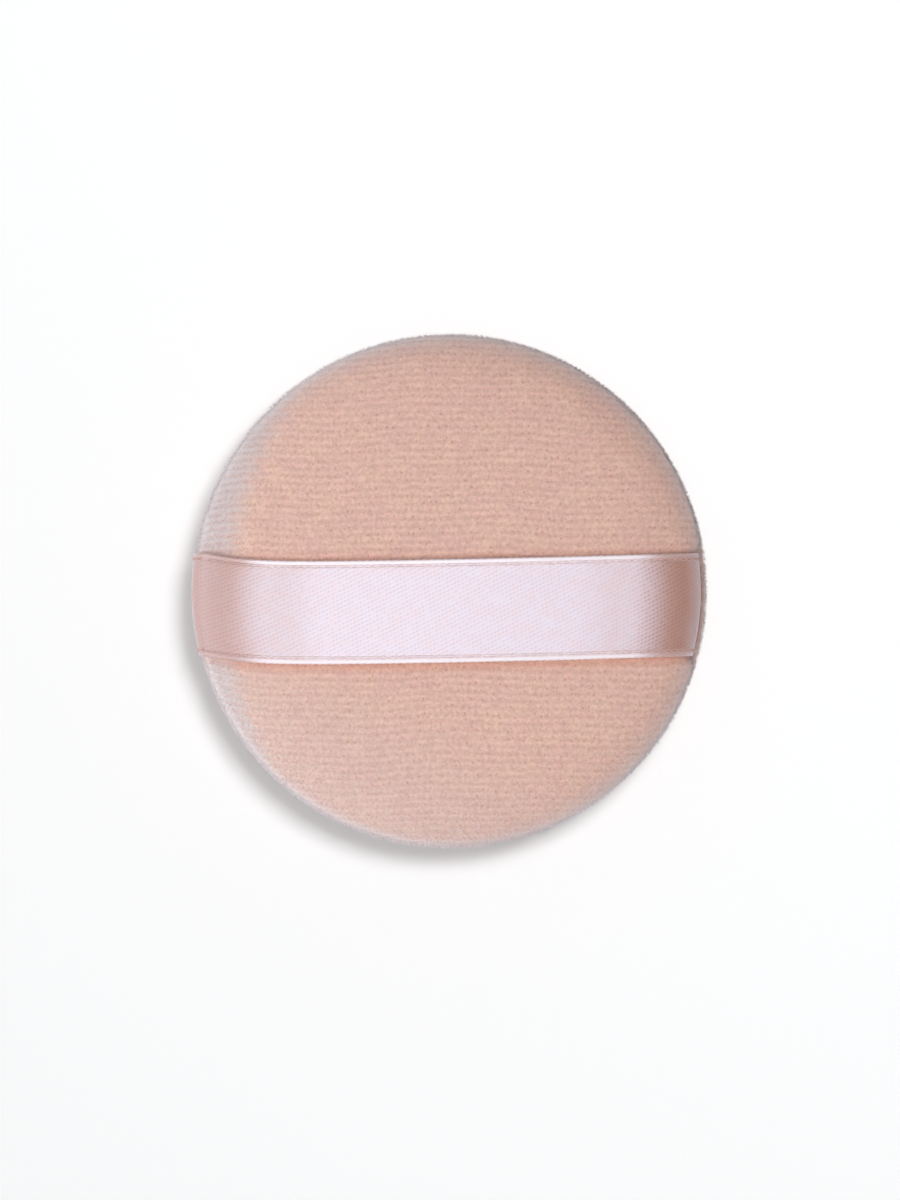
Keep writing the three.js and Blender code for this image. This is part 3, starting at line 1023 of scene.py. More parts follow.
    def thread_tree(self) -> bpy.types.NodeTree:
        """Builds a two-ply thread along a line.

        Returns:
            The tree.
        """
        sketch, start, end = node_tree("Geometry", "plied_thread", {
            "Geometry": "Geometry", "Radius": "Float", "Bend": "Float", "Step": "Float", "Twist": "Float",
            "Material": "Material",
        }, {"Geometry": "Geometry"})
        size = start.outputs
        waist_share = 0.62
        line = sketch.add("GeometryNodeMeshToCurve", {"Mesh": size["Geometry"]})
        eased = sketch.add("GeometryNodeFilletCurve", {
            "Curve": line.outputs[0], "Count": 4, "Radius": size["Bend"], "Limit Radius": True,
        }, mode="POLY")
        even = sketch.add("GeometryNodeResampleCurve", {
            "Curve": eased.outputs[0], "Length": size["Step"],
        }, mode="LENGTH")
        along = sketch.add("GeometryNodeSplineParameter").outputs["Length"]
        twisted = sketch.add("GeometryNodeSetCurveTilt", {
            "Curve": even.outputs[0], "Tilt": sketch.math("MULTIPLY", along, size["Twist"]),
        })
        ring = sketch.add("GeometryNodeCurvePrimitiveCircle", {"Resolution": 8, "Radius": size["Radius"]})
        place = sketch.add("GeometryNodeInputPosition").outputs[0]
        parts = sketch.add("ShaderNodeSeparateXYZ", {0: place}).outputs
        share = sketch.math("DIVIDE", parts["X"], size["Radius"])
        waist = sketch.ramp(sketch.math("ABSOLUTE", share), 0.0, 0.8, waist_share, 1.0)
        lobes = sketch.add("ShaderNodeVectorMath", {0: place, "Scale": waist}, operation="SCALE")
        ply = sketch.add("GeometryNodeSetPosition", {
            "Geometry": ring.outputs[0], "Position": lobes.outputs["Vector"],
        })
        tube = sketch.add("GeometryNodeCurveToMesh", {
            "Curve": twisted.outputs[0], "Profile Curve": ply.outputs[0], "Fill Caps": True,
        })
        return self.close(sketch, end, tube, size["Material"])


@dataclass
class Cover:
    """One velour cover of the pad: its ground as a closed shell, and its pile."""

    side: Side
    form: PuffForm
    growths: Growths
    finish: VelourFinish
    # Shell of the ground
    pile_depth: float = 0.4
    ring_step: float = 0.55
    inner_step: float = 2.2
    spokes: int = 360
    lip_clearance: float = 0.1
    allowance_start: float = 0.6
    resting_height: float = 0.6
    hold_margin: float = 1.0
    swell: Swell = field(default_factory=Swell)
    # Stitches of the knit
    wale: float = 0.9
    course: float = 1.165
    stitch_stray: float = 0.1
    stray_seed: int = 11
    wale_waves: tuple[Wave, Wave] = (Wave(0.22, up=5.3, phase=0.4), Wave(0.12, across=9.0, up=2.1))
    course_waves: tuple[Wave, Wave] = (Wave(0.3, across=7.1, phase=1.1), Wave(0.16, across=3.2, up=-11.0))
    gather: float = 0.13
    gather_width: float = 15.0
    gather_reach: tuple[float, float] = (25.0, 41.0)
    # Tufts of the pile
    fibres: int = 14
    fibre_length: float = 0.6
    fibre_radius: float = 0.052
    fibre_lean: float = 26.0
    nap: tuple[float, float, float] = (-0.405, -0.2025, 0.0)
    pile_seed: int = 21
    root_depth: float = 0.06
    tuft_depth: float = 0.9
    tuft_margin: float = 0.35
    smallest_tuft: float = 0.35
    pressed_from: float = 36.0
    pressed_margin: float = 0.3
    pressed_size: float = 0.6
    # Painted sheen on the rim, most on the left, a pale painted rim sheen, and painted shade beside the
    # ribbon
    crescent_middle: tuple[float, float] = (20.8, -1.1)
    crescent_radii: tuple[float, float] = (52.4, 57.2)
    rim_band: tuple[float, float] = (3.8, 0.4)
    rim_share: float = 0.5
    haze_direction: tuple[float, float] = (-0.5, -0.86)
    haze_reach: tuple[float, float] = (14.0, 36.0)
    haze_share: float = 0.3
    lower_sheen_share: float = 0.4
    ground_sheen: float = 0.6
    pile_sheen: float = 0.75
    rim_sheen_width: float = 1.1
    rim_sheen_share: float = 0.42
    rim_sheen_slant: float = 0.18
    lower_rim_sheen_share: float = 0.1
    upward_reach: tuple[float, float] = (-0.7, 0.4)
    ribbon_shade_reach: tuple[float, float] = (0.3, 1.6)
    upper_ribbon_shade: float = 0.45
    # What build works out
    line: np.ndarray = field(init=False)
    surface: np.ndarray = field(init=False)
    normals: np.ndarray = field(init=False)

    @property
    def node(self) -> str:
        """Name of the solid that the cover stands for."""
        return "upper_cover" if self.side is Side.UPPER else "lower_cover"

    def outer_line(self) -> np.ndarray:
        """Draws the ground's outer face from its pole to the seam's mouth.

        Returns:
            Points as radius and height above the seam plane.
        """
        form = self.form
        dome = form.dome(self.side, self.pile_depth)
        mouth = form.mouth - self.lip_clearance
        lip = form.lip(form.rim(self.side) - self.pile_depth, mouth, form.equator - form.seam_face)
        whole = np.concatenate([[[0.0, dome[0, 1]]], dome[1:], lip])
        return resample(whole, self.ring_step)

    def inner_line(self) -> np.ndarray:
        """Draws the rest of the shell: allowance, cut edge, fold and inner face.

        Returns:
            Points as radius and height above the seam plane, from the mouth to the inner pole.
        """
        form = self.form
        inner = form.rim(self.side) - form.velour
        fold = form.lip(inner, inner - (form.rim(self.side) - form.mouth), form.lip_rise)
        face = resample(form.dome(self.side, form.velour), self.inner_step)[::-1]
        reach = np.linspace(form.mouth - self.allowance_start, form.raw_edge, 5)
        allowance = [[radius, form.seam_face] for radius in reach]
        edge = [[form.raw_edge, form.allowance_top]]
        return np.concatenate([allowance, edge, fold[::-3], face])

    def turn(self, line: np.ndarray, spokes: int) -> np.ndarray:
        """Turns a line round the pad's axis and pulls in what the ribbon pulls.

        Args:
            line: Points as radius and height above the seam plane.
            spokes: Number of points round the axis.

        Returns:
            Points in space, by ring and spoke.
        """
        angle = angles(spokes)
        radius = np.repeat(line[:, :1], spokes, axis=1)
        if self.side is Side.UPPER:
            radius = radius - self.form.pull(radius, angle[None, :])
        height = np.repeat(self.form.seam_height + self.side.value * line[:, 1:], spokes, axis=1)
        return np.stack([radius * np.cos(angle), radius * np.sin(angle), height], axis=2)

    def faces(self, rings: int, spokes: int, closed: bool) -> list[list[int]]:
        """Numbers the cover's faces so that they point outwards."""
        found = disc_faces(rings, spokes, closed)
        return found if self.side is Side.UPPER else [face[::-1] for face in found]

    def settle(self, outer: np.ndarray) -> np.ndarray:
        """Swells the outer face as cloth and returns its shifts, by ring and spoke.

        Args:
            outer: The outer face's points, by ring and spoke.

        Returns:
            The shifts in millimetres.
        """
        swell = self.swell
        picks = np.round(np.linspace(0, len(self.line) - 1, swell.rings)).astype(int)
        coarse = self.turn(self.line[picks], swell.spokes)
        points = np.concatenate([coarse[0, :1], coarse[1:].reshape(-1, 3)])
        held = np.zeros((swell.rings - 1, swell.spokes))
        held[-2:] = 1.0
        if self.side is Side.LOWER:
            held[coarse[1:, :, 2] < self.resting_height] = 1.0
        else:
            reach = self.form.ribbon_width / 2 + self.hold_margin
            across = np.abs(coarse[1:, :, 1] - self.form.ribbon_offset) < reach
            held[across & (np.abs(coarse[1:, :, 0]) > self.form.raw_edge)] = 1.0
        weights = np.concatenate([[0.0], held.ravel()])
        shifts = swell.shift(points, self.faces(swell.rings - 1, swell.spokes, False), weights)
        grid = np.concatenate([np.repeat(shifts[None, :1], swell.spokes, axis=1),
                               shifts[1:].reshape(swell.rings - 1, swell.spokes, 3)])
        return self.spread(grid, picks, outer.shape[0])

    def spread(self, grid: np.ndarray, picks: np.ndarray, rings: int) -> np.ndarray:
        """Spreads coarse shifts smoothly over the fine rings and spokes.

        Args:
            grid: The coarse shifts, by ring and spoke.
            picks: The fine ring that each coarse ring stands for.
            rings: Number of fine rings.

        Returns:
            The fine shifts, by ring and spoke.
        """
        coarse = grid.shape[1]
        wrapped = np.concatenate([grid, grid[:, :1]], axis=1)
        spots = np.arange(self.spokes) * coarse / self.spokes
        base = spots.astype(int)
        part = (spots - base)[None, :, None]
        round_way = wrapped[:, base] * (1 - part) + wrapped[:, base + 1] * part
        fine = np.empty((rings, self.spokes, 3))
        for axis in range(3):
            for spoke in range(self.spokes):
                fine[:, spoke, axis] = np.interp(np.arange(rings), picks, round_way[:, spoke, axis])
        reach = self.spokes // coarse
        for _ in range(2):
            fine = sum(np.roll(fine, step, axis=1) for step in range(-reach, reach + 1)) / (2 * reach + 1)
        return fine

    def measure(self) -> None:
        """Works out the outer face's normals for the pile."""
        along = np.gradient(self.surface, axis=0)
        wrapped = np.concatenate([self.surface[:, -1:], self.surface, self.surface[:, :1]], axis=1)
        around = np.gradient(wrapped, axis=1)[:, 1:-1]
        self.normals = unit(np.cross(along, around)) * self.side.value
        self.normals[0] = (0.0, 0.0, self.side.value)

    def knit(self, across: np.ndarray, up: np.ndarray) -> tuple[np.ndarray, np.ndarray]:
        """Gives the waviness of the knit's wales and courses.

        Args:
            across: Place across the flat cloth, in millimetres.
            up: Place up it.

        Returns:
            How far the cloth strays across and up.
        """
        stray_across = sum(wave.at(across, up) for wave in self.wale_waves)
        stray_up = sum(wave.at(across, up) for wave in self.course_waves)
        above = up - self.form.ribbon_offset
        fading = np.exp(-((above / self.gather_width) ** 2)) * smoothstep(-across, *self.gather_reach)
        gathered = self.gather * above * fading
        return stray_across, stray_up - gathered

    def build(self) -> list[bpy.types.Object]:
        """Builds the ground and the pile.

        Returns:
            The ground, and the left and right halves of the pile.
        """
        self.line = self.outer_line()
        outer = self.turn(self.line, self.spokes)
        self.surface = outer + self.settle(outer)
        self.surface[:, :, 2] = np.maximum(self.surface[:, :, 2], self.pile_depth)
        self.measure()
        return [self.build_ground(), *(self.build_pile(end) for end in End)]

    def build_ground(self) -> bpy.types.Object:
        """Builds the ground's shell.

        Returns:
            The piece.
        """
        inside = self.turn(self.inner_line(), self.spokes)
        rings = np.concatenate([self.surface[1:], inside[:-1]])
        points = np.concatenate([self.surface[0, :1], rings.reshape(-1, 3), inside[-1, :1]])
        piece = mesh_piece(f"{self.node}_ground", points, self.faces(len(rings), self.spokes, True))
        store(piece, "cloth", self.stitches(len(rings), len(self.surface) - 1))
        self.mark(piece, points, self.ground_sheen)
        piece.data.materials.append(self.finish.ground())
        return piece

    def mark(self, piece: bpy.types.Object, points: np.ndarray, painted_sheen: float) -> None:
        """Keeps the shares of the painted sheen, the painted rim sheen and the painted shade beside the
        ribbon, for its finish to read.

        Args:
            piece: The ground or a half of the pile.
            points: Places of its points.
            painted_sheen: How much of the painted sheen shows on it.
        """
        # Painted sheen, pale painted rim sheen and painted shade beside the ribbon, stored for the finish
        store(piece, "sheen_mask", painted_sheen * self.sheen_mask(points))
        store(piece, "rim_sheen", self.rim_sheen(points))
        store(piece, "ribbon_shade", self.ribbon_shade(points))

    def stitches(self, rings: int, outer: int) -> np.ndarray:
        """Gives each vertex of the shell its place in the knit.

        Args:
            rings: Number of the shell's rings.
            outer: Number of those on the outer face.

        Returns:
            Places in wales and courses, one row for each vertex.
        """
        reach = np.minimum(np.arange(1, rings + 1), outer) * self.ring_length
        angle = angles(self.spokes)
        across = (reach[:, None] * np.cos(angle)).ravel()
        up = (reach[:, None] * np.sin(angle)).ravel()
        stray_across, stray_up = self.knit(across, up)
        wale, course = (across - stray_across) / self.wale, (up - stray_up) / self.course
        places = np.stack([wale, course, np.zeros_like(up)], axis=1)
        return np.concatenate([np.zeros((1, 3)), places, np.zeros((1, 3))])

    @property
    def ring_length(self) -> float:
        """Distance from one ring of the outer face to the next."""
        return float(np.linalg.norm(np.diff(self.line, axis=0), axis=1).sum() / (len(self.line) - 1))

    def build_pile(self, half: End) -> bpy.types.Object:
        """Plants a tuft at each stitch of one half of the knit.

        Args:
            half: Which half.

        Returns:
            The piece.
        """
        reach = self.ring_length * (len(self.line) - 1)
        wales, courses = (int(reach / pitch) + 2 for pitch in (self.wale, self.course))
        grid = np.meshgrid(np.arange(-wales, wales + 1), np.arange(-courses, courses + 1))
        index = np.stack(grid, axis=-1).reshape(-1, 2)
        chance = np.random.default_rng(self.stray_seed + self.side.value).uniform(-1, 1, index.shape)
        flat = (index + self.stitch_stray * chance) * (self.wale, self.course)
        flat = flat + np.stack(self.knit(flat[:, 0], flat[:, 1]), axis=1)
        radius = np.hypot(flat[:, 0], flat[:, 1])
        planted = (radius < reach - self.tuft_margin) & ((index[:, 0] >= 0) == (half is End.RIGHT))
        flat, radius = flat[planted], radius[planted]
        angle = np.arctan2(flat[:, 1], flat[:, 0]) % (2 * np.pi)
        points = self.on_surface(self.surface, radius, angle)
        normals = unit(self.on_surface(self.normals, radius, angle))
        lean = np.array(self.nap)
        facing = unit(normals + lean - normals * (normals @ lean)[:, None])
        run = unit(np.cross(np.array([0.0, 1.0, 0.0]), facing) + 1e-6)
        roots = points - self.root_depth * normals
        piece = mesh_piece(f"{self.node}_pile_{half.name.lower()}", roots, [])
        store(piece, "facing", facing)
        store(piece, "run", run)
        store(piece, "size", self.tuft_size(points))
        self.mark(piece, points, self.pile_sheen)
        return grow(piece, self.growths.pile, {
            "Fibres": self.fibres, "Fibre Length": self.fibre_length * MM,
            "Fibre Radius": self.fibre_radius * MM, "Tuft Width": self.wale * MM,
            "Tuft Depth": self.course * self.tuft_depth * MM, "Lean": math.radians(self.fibre_lean),
            "Seed": self.pile_seed, "Material": self.finish.pile(),
        })

    def on_surface(self, values: np.ndarray, radius: np.ndarray, angle: np.ndarray) -> np.ndarray:
        """Reads values of the outer face between its rings and spokes.

        Args:
            values: The values, by ring and spoke.
            radius: Distance from the pole along the face.
            angle: Angle round the axis.

        Returns:
            The values at those places.
        """
        ring = np.clip(radius / self.ring_length, 0, len(self.line) - 1.001)
        spoke = angle * self.spokes / (2 * np.pi)
        low, left = ring.astype(int), spoke.astype(int)
        rise, part = (ring - low)[:, None], (spoke - left)[:, None]
        left, right = left % self.spokes, (left + 1) % self.spokes
        near = values[low, left] * (1 - part) + values[low, right] * part
        far = values[low + 1, left] * (1 - part) + values[low + 1, right] * part
        return near * (1 - rise) + far * rise

    def sheen_mask(self, points: np.ndarray) -> np.ndarray:
        """Gives how far a painted sheen greys the pile: along the rim, most on the left.

        Args:
            points: Places on the cover.

        Returns:
            From 0 to 1.
        """
        x, y = points[:, 0], points[:, 1]
        rim = self.form.rim(Side.UPPER)
        ragged = 0.45 * np.sin(1.9 * y + 0.7 * x) + 0.3 * np.sin(4.3 * y - 1.1 * x)
        middle = self.crescent_middle
        crescent = smoothstep(np.hypot(x - middle[0], y - middle[1]) + ragged, *self.crescent_radii)
        inner, outer = (rim - inset for inset in self.rim_band)
        band = self.rim_share * smoothstep(np.hypot(x, y), inner, outer)
        # A wider painted sheen towards the lower left
        along = self.haze_direction[0] * x + self.haze_direction[1] * y
        haze = self.haze_share * smoothstep(along, *self.haze_reach)
        share = 1.0 if self.side is Side.UPPER else self.lower_sheen_share
        return share * np.maximum(np.maximum(crescent, band), haze) * self.upward(points)

    def rim_sheen(self, points: np.ndarray) -> np.ndarray:
        """Gives how far a pale painted rim sheen shows at the very rim, on the upper cover more on the left.

        Args:
            points: Places on the cover.

        Returns:
            From 0 to 1.
        """
        rim = self.form.rim(self.side) - self.pile_depth
        radius = np.hypot(points[:, 0], points[:, 1])
        share = self.lower_rim_sheen_share
        if self.side is Side.UPPER:
            share = self.rim_sheen_share - self.rim_sheen_slant * points[:, 0] / np.maximum(radius, 1e-6)
        return share * smoothstep(radius, rim - self.rim_sheen_width, rim) * self.upward(points)

    def upward(self, points: np.ndarray) -> np.ndarray:
        """Gives how far places face up, from 0 under the cover's widest ring to 1 above it."""
        level = self.form.seam_height + self.side.value * self.form.equator
        return smoothstep(points[:, 2], *(level + reach for reach in self.upward_reach))

    def ribbon_shade(self, points: np.ndarray) -> np.ndarray:
        """Gives how far a painted shade darkens the velour beside and under the ribbon, more below it than
        above.

        Args:
            points: Places on the cover.

        Returns:
            From 0, well clear of the ribbon, to 1, under it.
        """
        if self.side is Side.LOWER:
            return np.zeros(len(points))
        middle = self.form.ribbon_line(points[:, 0])
        # The painted shade is stronger below the ribbon than above it
        shade = np.where(points[:, 1] < middle, 1.0, self.upper_ribbon_shade)
        away = np.abs(points[:, 1] - middle) - self.form.ribbon_width / 2
        return shade * (1 - smoothstep(away, *self.ribbon_shade_reach))

    def tuft_size(self, points: np.ndarray) -> np.ndarray:
        """Presses the tufts shorter where the pad rests and under the ribbon's ends.

        Args:
            points: The tufts' places.

        Returns:
            The scale of each tuft.
        """
        size = np.ones(len(points))
        if self.side is Side.LOWER:
            tallest = self.fibre_length * self.growths.fibre_scales[1]
            size = np.clip(points[:, 2] / tallest, self.smallest_tuft, 1)
        else:
            reach = self.form.ribbon_width / 2 + self.pressed_margin
            near = np.abs(points[:, 1] - self.form.ribbon_offset) < reach
            ends = near & (np.abs(points[:, 0]) > self.pressed_from)
            size[ends] = self.pressed_size
        return size

    def dress(self, pieces: list[bpy.types.Object]) -> None:
        """Gives the pieces their places on the frame.

        Args:
            pieces: The ground and the halves of the pile.
        """
        for piece in pieces:
            if self.side is Side.UPPER:
                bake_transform(piece)
            else:
                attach(piece, "pad")
            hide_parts(self.node)


@dataclass
class FoamCore:
    """The sponge disc inside the covers."""

    form: PuffForm
    finish: FoamFinish
    clearance: float = 0.4
    lower_reach: float = 0.98
    ring_step: float = 1.2
    unevenness: float = 0.12
    uneven_waves: int = 5
    uneven_length: float = 3.1
    spokes: int = 120

    def build(self) -> list[bpy.types.Object]:
        """Builds the disc with softly uneven faces.

        Returns:
            The piece.
        """
        form = self.form
        skin = form.velour + self.clearance
        reach = (form.raw_edge - self.clearance) / (form.rim(Side.UPPER) - skin)
        faces = {}
        for side in Side:
            line = form.dome(side, skin, reach if side is Side.UPPER else reach * self.lower_reach)
            height = form.seam_height + side.value * line[:, 1]
            faces[side] = resample(np.stack([line[:, 0], height], axis=1), self.ring_step)
        line = np.concatenate([faces[Side.UPPER], faces[Side.LOWER][::-1]])
        angle = angles(self.spokes)
        rings = line[1:-1]
        wave = self.unevenness * np.sin(self.uneven_waves * angle) * np.sin(rings[:, :1] / self.uneven_length)
        height = rings[:, 1:] - np.sign(rings[:, 1:] - form.seam_height) * np.abs(wave)
        points = np.stack([rings[:, :1] * np.cos(angle), rings[:, :1] * np.sin(angle), height], axis=2)
        ends = np.array([[0, 0, line[0, 1]], [0, 0, line[-1, 1]]])
        whole = np.concatenate([ends[:1], points.reshape(-1, 3), ends[1:]])
        piece = mesh_piece("foam_disc", whole, disc_faces(len(rings), self.spokes, True))
        piece.data.materials.append(self.finish.foam())
        return [piece]

    def dress(self, pieces: list[bpy.types.Object]) -> None:
        """Gives the disc its place on the frame.

        Args:
            pieces: The disc.
        """
        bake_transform(pieces[0])
        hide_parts("foam_core")


@dataclass(frozen=True)
class EndLook:
    """How far the satin's painted shade grows towards one end, where it turns down to the seam, from 0 to 1.
    """

    slope_point_shade: float
    early_shade: float
    late_shade: float
    last_shade: float
    end_shade: float


@dataclass
class RibbonLoop:
    """The satin ribbon, as two halves that meet in its middle, with its looped edges."""

    form: PuffForm
    growths: Growths
    finish: SatinFinish
    # Middle line
    step: float = 0.35
    span_points: int = 80
    fall_points: int = 60
    bend_points: int = 25
    # Section with its beaded and scalloped edges
    columns: int = 53
    column_shares: tuple[float, float] = (0.55, 0.45)
    relief: float = 0.015
    edge_height: float = 0.045
    bead_inset: float = 0.34
    bead_width: float = 0.26
    groove_depth: float = 0.035
    groove_inset: float = 0.8
    groove_width: float = 0.16
    rounding: float = 0.2
    scallop: float = 0.05
    scallop_pitch: float = 1.1
    scallop_width: float = 0.7
    # Edge loops
    loop_inset: float = 0.98
    loop_pitch: float = 1.16
    loop_length: float = 0.98
    loop_width: float = 0.42
    yarn_radius: float = 0.085
    # Weave, and its painted shades and painted highlight towards the ends
    binding_rows: tuple[tuple[float, float], tuple[float, float]] = ((1.687, 0.142), (0.702, -1.533))
    selvedge_inset: tuple[float, float] = (0.8, 0.6)
    slope_point_shade_from: tuple[float, float] = (27.0, 31.0)
    slope_point_shade_to: tuple[float, float] = (33.0, 37.0)
    early_reach: tuple[float, float] = (19.0, 26.0)
    late_reach: tuple[float, float] = (28.5, 35.5)
    last_reach: tuple[float, float] = (36.0, 38.0)
    end_shade_reach: tuple[float, float] = (28.5, 33.5)
    # Shares of the painted shades at each end
    left_look: EndLook = EndLook(slope_point_shade=0.3, early_shade=0.3, late_shade=0.58, last_shade=0.0, end_shade=0.9)
    right_look: EndLook = EndLook(slope_point_shade=1.0, early_shade=0.22, late_shade=0.78, last_shade=0.25, end_shade=0.7)

    def look(self, end: End) -> EndLook:
        """Gives the look of one half towards its end."""
        return self.right_look if end is End.RIGHT else self.left_look

    def path(self, end: End) -> np.ndarray:
        """Draws one half of the ribbon's middle line, from its middle to its tail.

        Args:
            end: Which half.

        Returns:
            Points in space, evenly spaced.
        """
        form = self.form
        mouth = form.mouth - (form.pull_depth if end is End.RIGHT else 0)
        height = form.lip_rise + form.velour
        angle = np.linspace(0, np.pi / 2, self.bend_points)
        draw_in = form.lip_draw_in
        outward = unit(np.stack([np.cos(angle) / draw_in, -np.sin(angle) / height], axis=1)) * form.seam_face
        fold = np.stack([mouth + draw_in * np.cos(angle), form.equator - height * np.sin(angle)], axis=1)
        bend = fold + outward
        rim = bend[0]
        shoulder = np.array([rim[0] - form.shoulder_inset, form.ribbon_top - form.shoulder_drop])
        slope = np.array([1.0, -2 * form.shoulder_drop / shoulder[0]])
        slope *= form.shoulder_ease / np.linalg.norm(slope)
        share = np.linspace(0, 1, self.fall_points)[:, None]
        fall = ((1 - share) ** 3 * shoulder + 3 * (1 - share) ** 2 * share * (shoulder + slope)
                + 3 * (1 - share) * share ** 2 * (rim + (0, form.rim_ease)) + share ** 3 * rim)
        reach = np.linspace(0, shoulder[0], self.span_points)
        span = np.stack([reach, form.ribbon_top - form.shoulder_drop * (reach / shoulder[0]) ** 2], axis=1)
        tail = np.array([[mouth, 0.0], [form.raw_edge + form.fit, 0.0]])
        flat = np.concatenate([span, fall[1:], bend[1:], tail])
        x = end.value * flat[:, 0]
        y = np.where(flat[:, 1] > form.equator, form.ribbon_line(x), form.ribbon_offset)
        points = np.stack([x, y, form.seam_height + flat[:, 1]], axis=1)
        return resample(points, self.step)

    def frames(self, path: np.ndarray, end: End) -> tuple[np.ndarray, np.ndarray, np.ndarray]:
        """Gives the directions of the ribbon at each point of its middle line.

        Args:
            path: The middle line.
            end: Which half it is.

        Returns:
            Directions along, across and up, one row for each point.
        """
        run = unit(np.gradient(path, axis=0))
        level = np.array([0.0, 1.0, 0.0])
        across = unit(level - run * (run @ level)[:, None])
        return run, across, np.cross(run, across) * end.value

    def follow_seam(self, points: np.ndarray) -> np.ndarray:
        """Draws the ribbon's ends back to the round seam that holds them.

        Args:
            points: Points of a straight ribbon, in the last axis of the array.

        Returns:
            The moved points.
        """
        x, y = points[..., 0], points[..., 1]
        back = smoothstep(np.abs(x), self.form.raw_edge / 2, self.form.raw_edge) * self.form.seam_bow(y)
        moved = points.copy()
        moved[..., 0] = x - np.sign(x) * back
        return moved

    def section(self) -> tuple[np.ndarray, np.ndarray]:
        """Draws the ribbon's half thickness across its width, with its beaded edges.

        Returns:
            Places across the width, and the half thickness at each.
        """
        half = self.form.ribbon_width / 2
        share = np.linspace(-1, 1, self.columns)
        crowded, even = self.column_shares
        across = half * np.sin(share * np.pi / 2) * crowded + half * share * even
        inset = half - np.abs(across)
        thick = np.full_like(across, self.form.ribbon_thickness / 2 - self.relief)
        thick += self.edge_height * np.exp(-(((inset - self.bead_inset) / self.bead_width) ** 2))
        thick -= self.groove_depth * np.exp(-(((inset - self.groove_inset) / self.groove_width) ** 2))
        short = (self.rounding - np.minimum(inset, self.rounding)) / self.rounding
        return across, thick * np.sqrt(np.clip(1 - short ** 2, 0.02, 1))

    def build_half(self, end: End) -> bpy.types.Object:
        """Builds one half of the cloth as a thin closed sheet.

        Args:
            end: Which half.

        Returns:
            The piece.
        """
        path = self.path(end)
        _, across, up = self.frames(path, end)
        place, thick = self.section()
        half_width = self.form.ribbon_width / 2
        rows, columns = len(path), len(place)
        along = np.arange(rows) * float(np.linalg.norm(path[1] - path[0]))
        rim = smoothstep(np.abs(place), half_width - self.scallop_width, half_width)
        wave = self.scallop * np.cos(2 * np.pi * along / self.scallop_pitch)
        spot = place[None, :] - np.sign(place) * rim * (self.scallop + wave[:, None])
        middle = self.follow_seam(path[:, None, :] + across[:, None, :] * spot[:, :, None])
        offset = up[:, None, :] * thick[None, :, None]
        skin = np.concatenate([middle + offset, (middle - offset)[:, ::-1]], axis=1)
        count = 2 * columns
        faces = self.sheet_faces(rows, columns)
        if end is End.LEFT:
            faces = [face[::-1] for face in faces]
        piece = mesh_piece(f"ribbon_{end.name.lower()}_half", skin.reshape(-1, 3), faces)
        for edge in piece.data.edges:
            ends = {number // count for number in edge.vertices}
            edge.use_edge_sharp = ends in ({0}, {rows - 1})
        length = end.value * along[:, None]
        width = np.concatenate([place, place[::-1]])[None, :]
        slanted, upright = self.binding_rows
        # Pale woven edge, partly its own colour and partly a painted highlight
        inner, outer = (half_width - inset for inset in self.selvedge_inset)
        selvedge_and_highlight = smoothstep(np.abs(width), inner, outer)
        # Painted shade dims the pale woven edge towards the ends
        shining = 1 - self.end_shade(path, end)[:, None]
        weave = np.stack([slanted[0] * length + slanted[1] * width, upright[0] * length + upright[1] * width,
                          selvedge_and_highlight * shining], axis=2)
        store(piece, "weave", weave.reshape(-1, 3))
        look, reach = self.look(end), np.abs(path[:, 0])
        # Painted shade: the binding points darken more where the ribbon slopes
        slope_point_shade = look.slope_point_shade * smoothstep(reach, *self.slope_point_shade_from) * (1 - smoothstep(reach, *self.slope_point_shade_to))
        store(piece, "slope_point_shade", np.repeat(slope_point_shade, count))
        # Painted shade: the face darkens where the ribbon turns down towards its ends
        turned = look.early_shade * smoothstep(reach, *self.early_reach)
        turned += look.late_shade * smoothstep(reach, *self.late_reach)
        turned -= look.last_shade * smoothstep(reach, *self.last_reach)
        store(piece, "turned", np.repeat(turned, count))
        piece.data.materials.append(self.finish.cloth())
        return piece

    @staticmethod
    def sheet_faces(rows: int, columns: int) -> list[list[int]]:
        """Numbers the faces of a closed sheet, whose rows run over its face and back under it.

        Args:
            rows: Number of rows along the sheet.
            columns: Number of points across its face.

        Returns:
            The faces, those of the two ends last.
        """
        count = 2 * columns
        faces = []
        for row in range(rows - 1):
            for column in range(count):
                here, after = row * count + column, row * count + (column + 1) % count
                faces.append([here, here + count, after + count, after])
        for row in (0, rows - 1):
            for column in range(columns - 1):
                upper = row * count + column
                under = row * count + count - 1 - column
                face = [upper, upper + 1, under - 1, under]
                faces.append(face if row == 0 else face[::-1])
        return faces

    def end_shade(self, path: np.ndarray, end: End) -> np.ndarray:
        """Gives how far a painted shade dims the edges, from 0 to 1, where the ribbon turns down to its ends.
        """
        return self.look(end).end_shade * smoothstep(np.abs(path[:, 0]), *self.end_shade_reach)

    def build_loops(self, end: End) -> bpy.types.Object:
        """Builds the chain of small loops inside each edge of one half.

        Args:
            end: Which half.

        Returns:
            The piece.
        """
        path = self.path(end)
        run, across, up = self.frames(path, end)
        shown = np.flatnonzero(path[:, 2] > self.form.seam_height + self.form.equator)
        pick = shown[::round(self.loop_pitch / self.step)]
        inset = self.form.ribbon_width / 2 - self.loop_inset
        lift = self.form.ribbon_thickness / 2
        rows = [path[pick] + side * inset * across[pick] + lift * up[pick] for side in (-1, 1)]
        places = self.follow_seam(np.concatenate(rows))
        piece = mesh_piece(f"ribbon_{end.name.lower()}_edge_loops", places, [])
        store(piece, "facing", np.concatenate([up[pick]] * 2))
        store(piece, "run", np.concatenate([run[pick]] * 2))
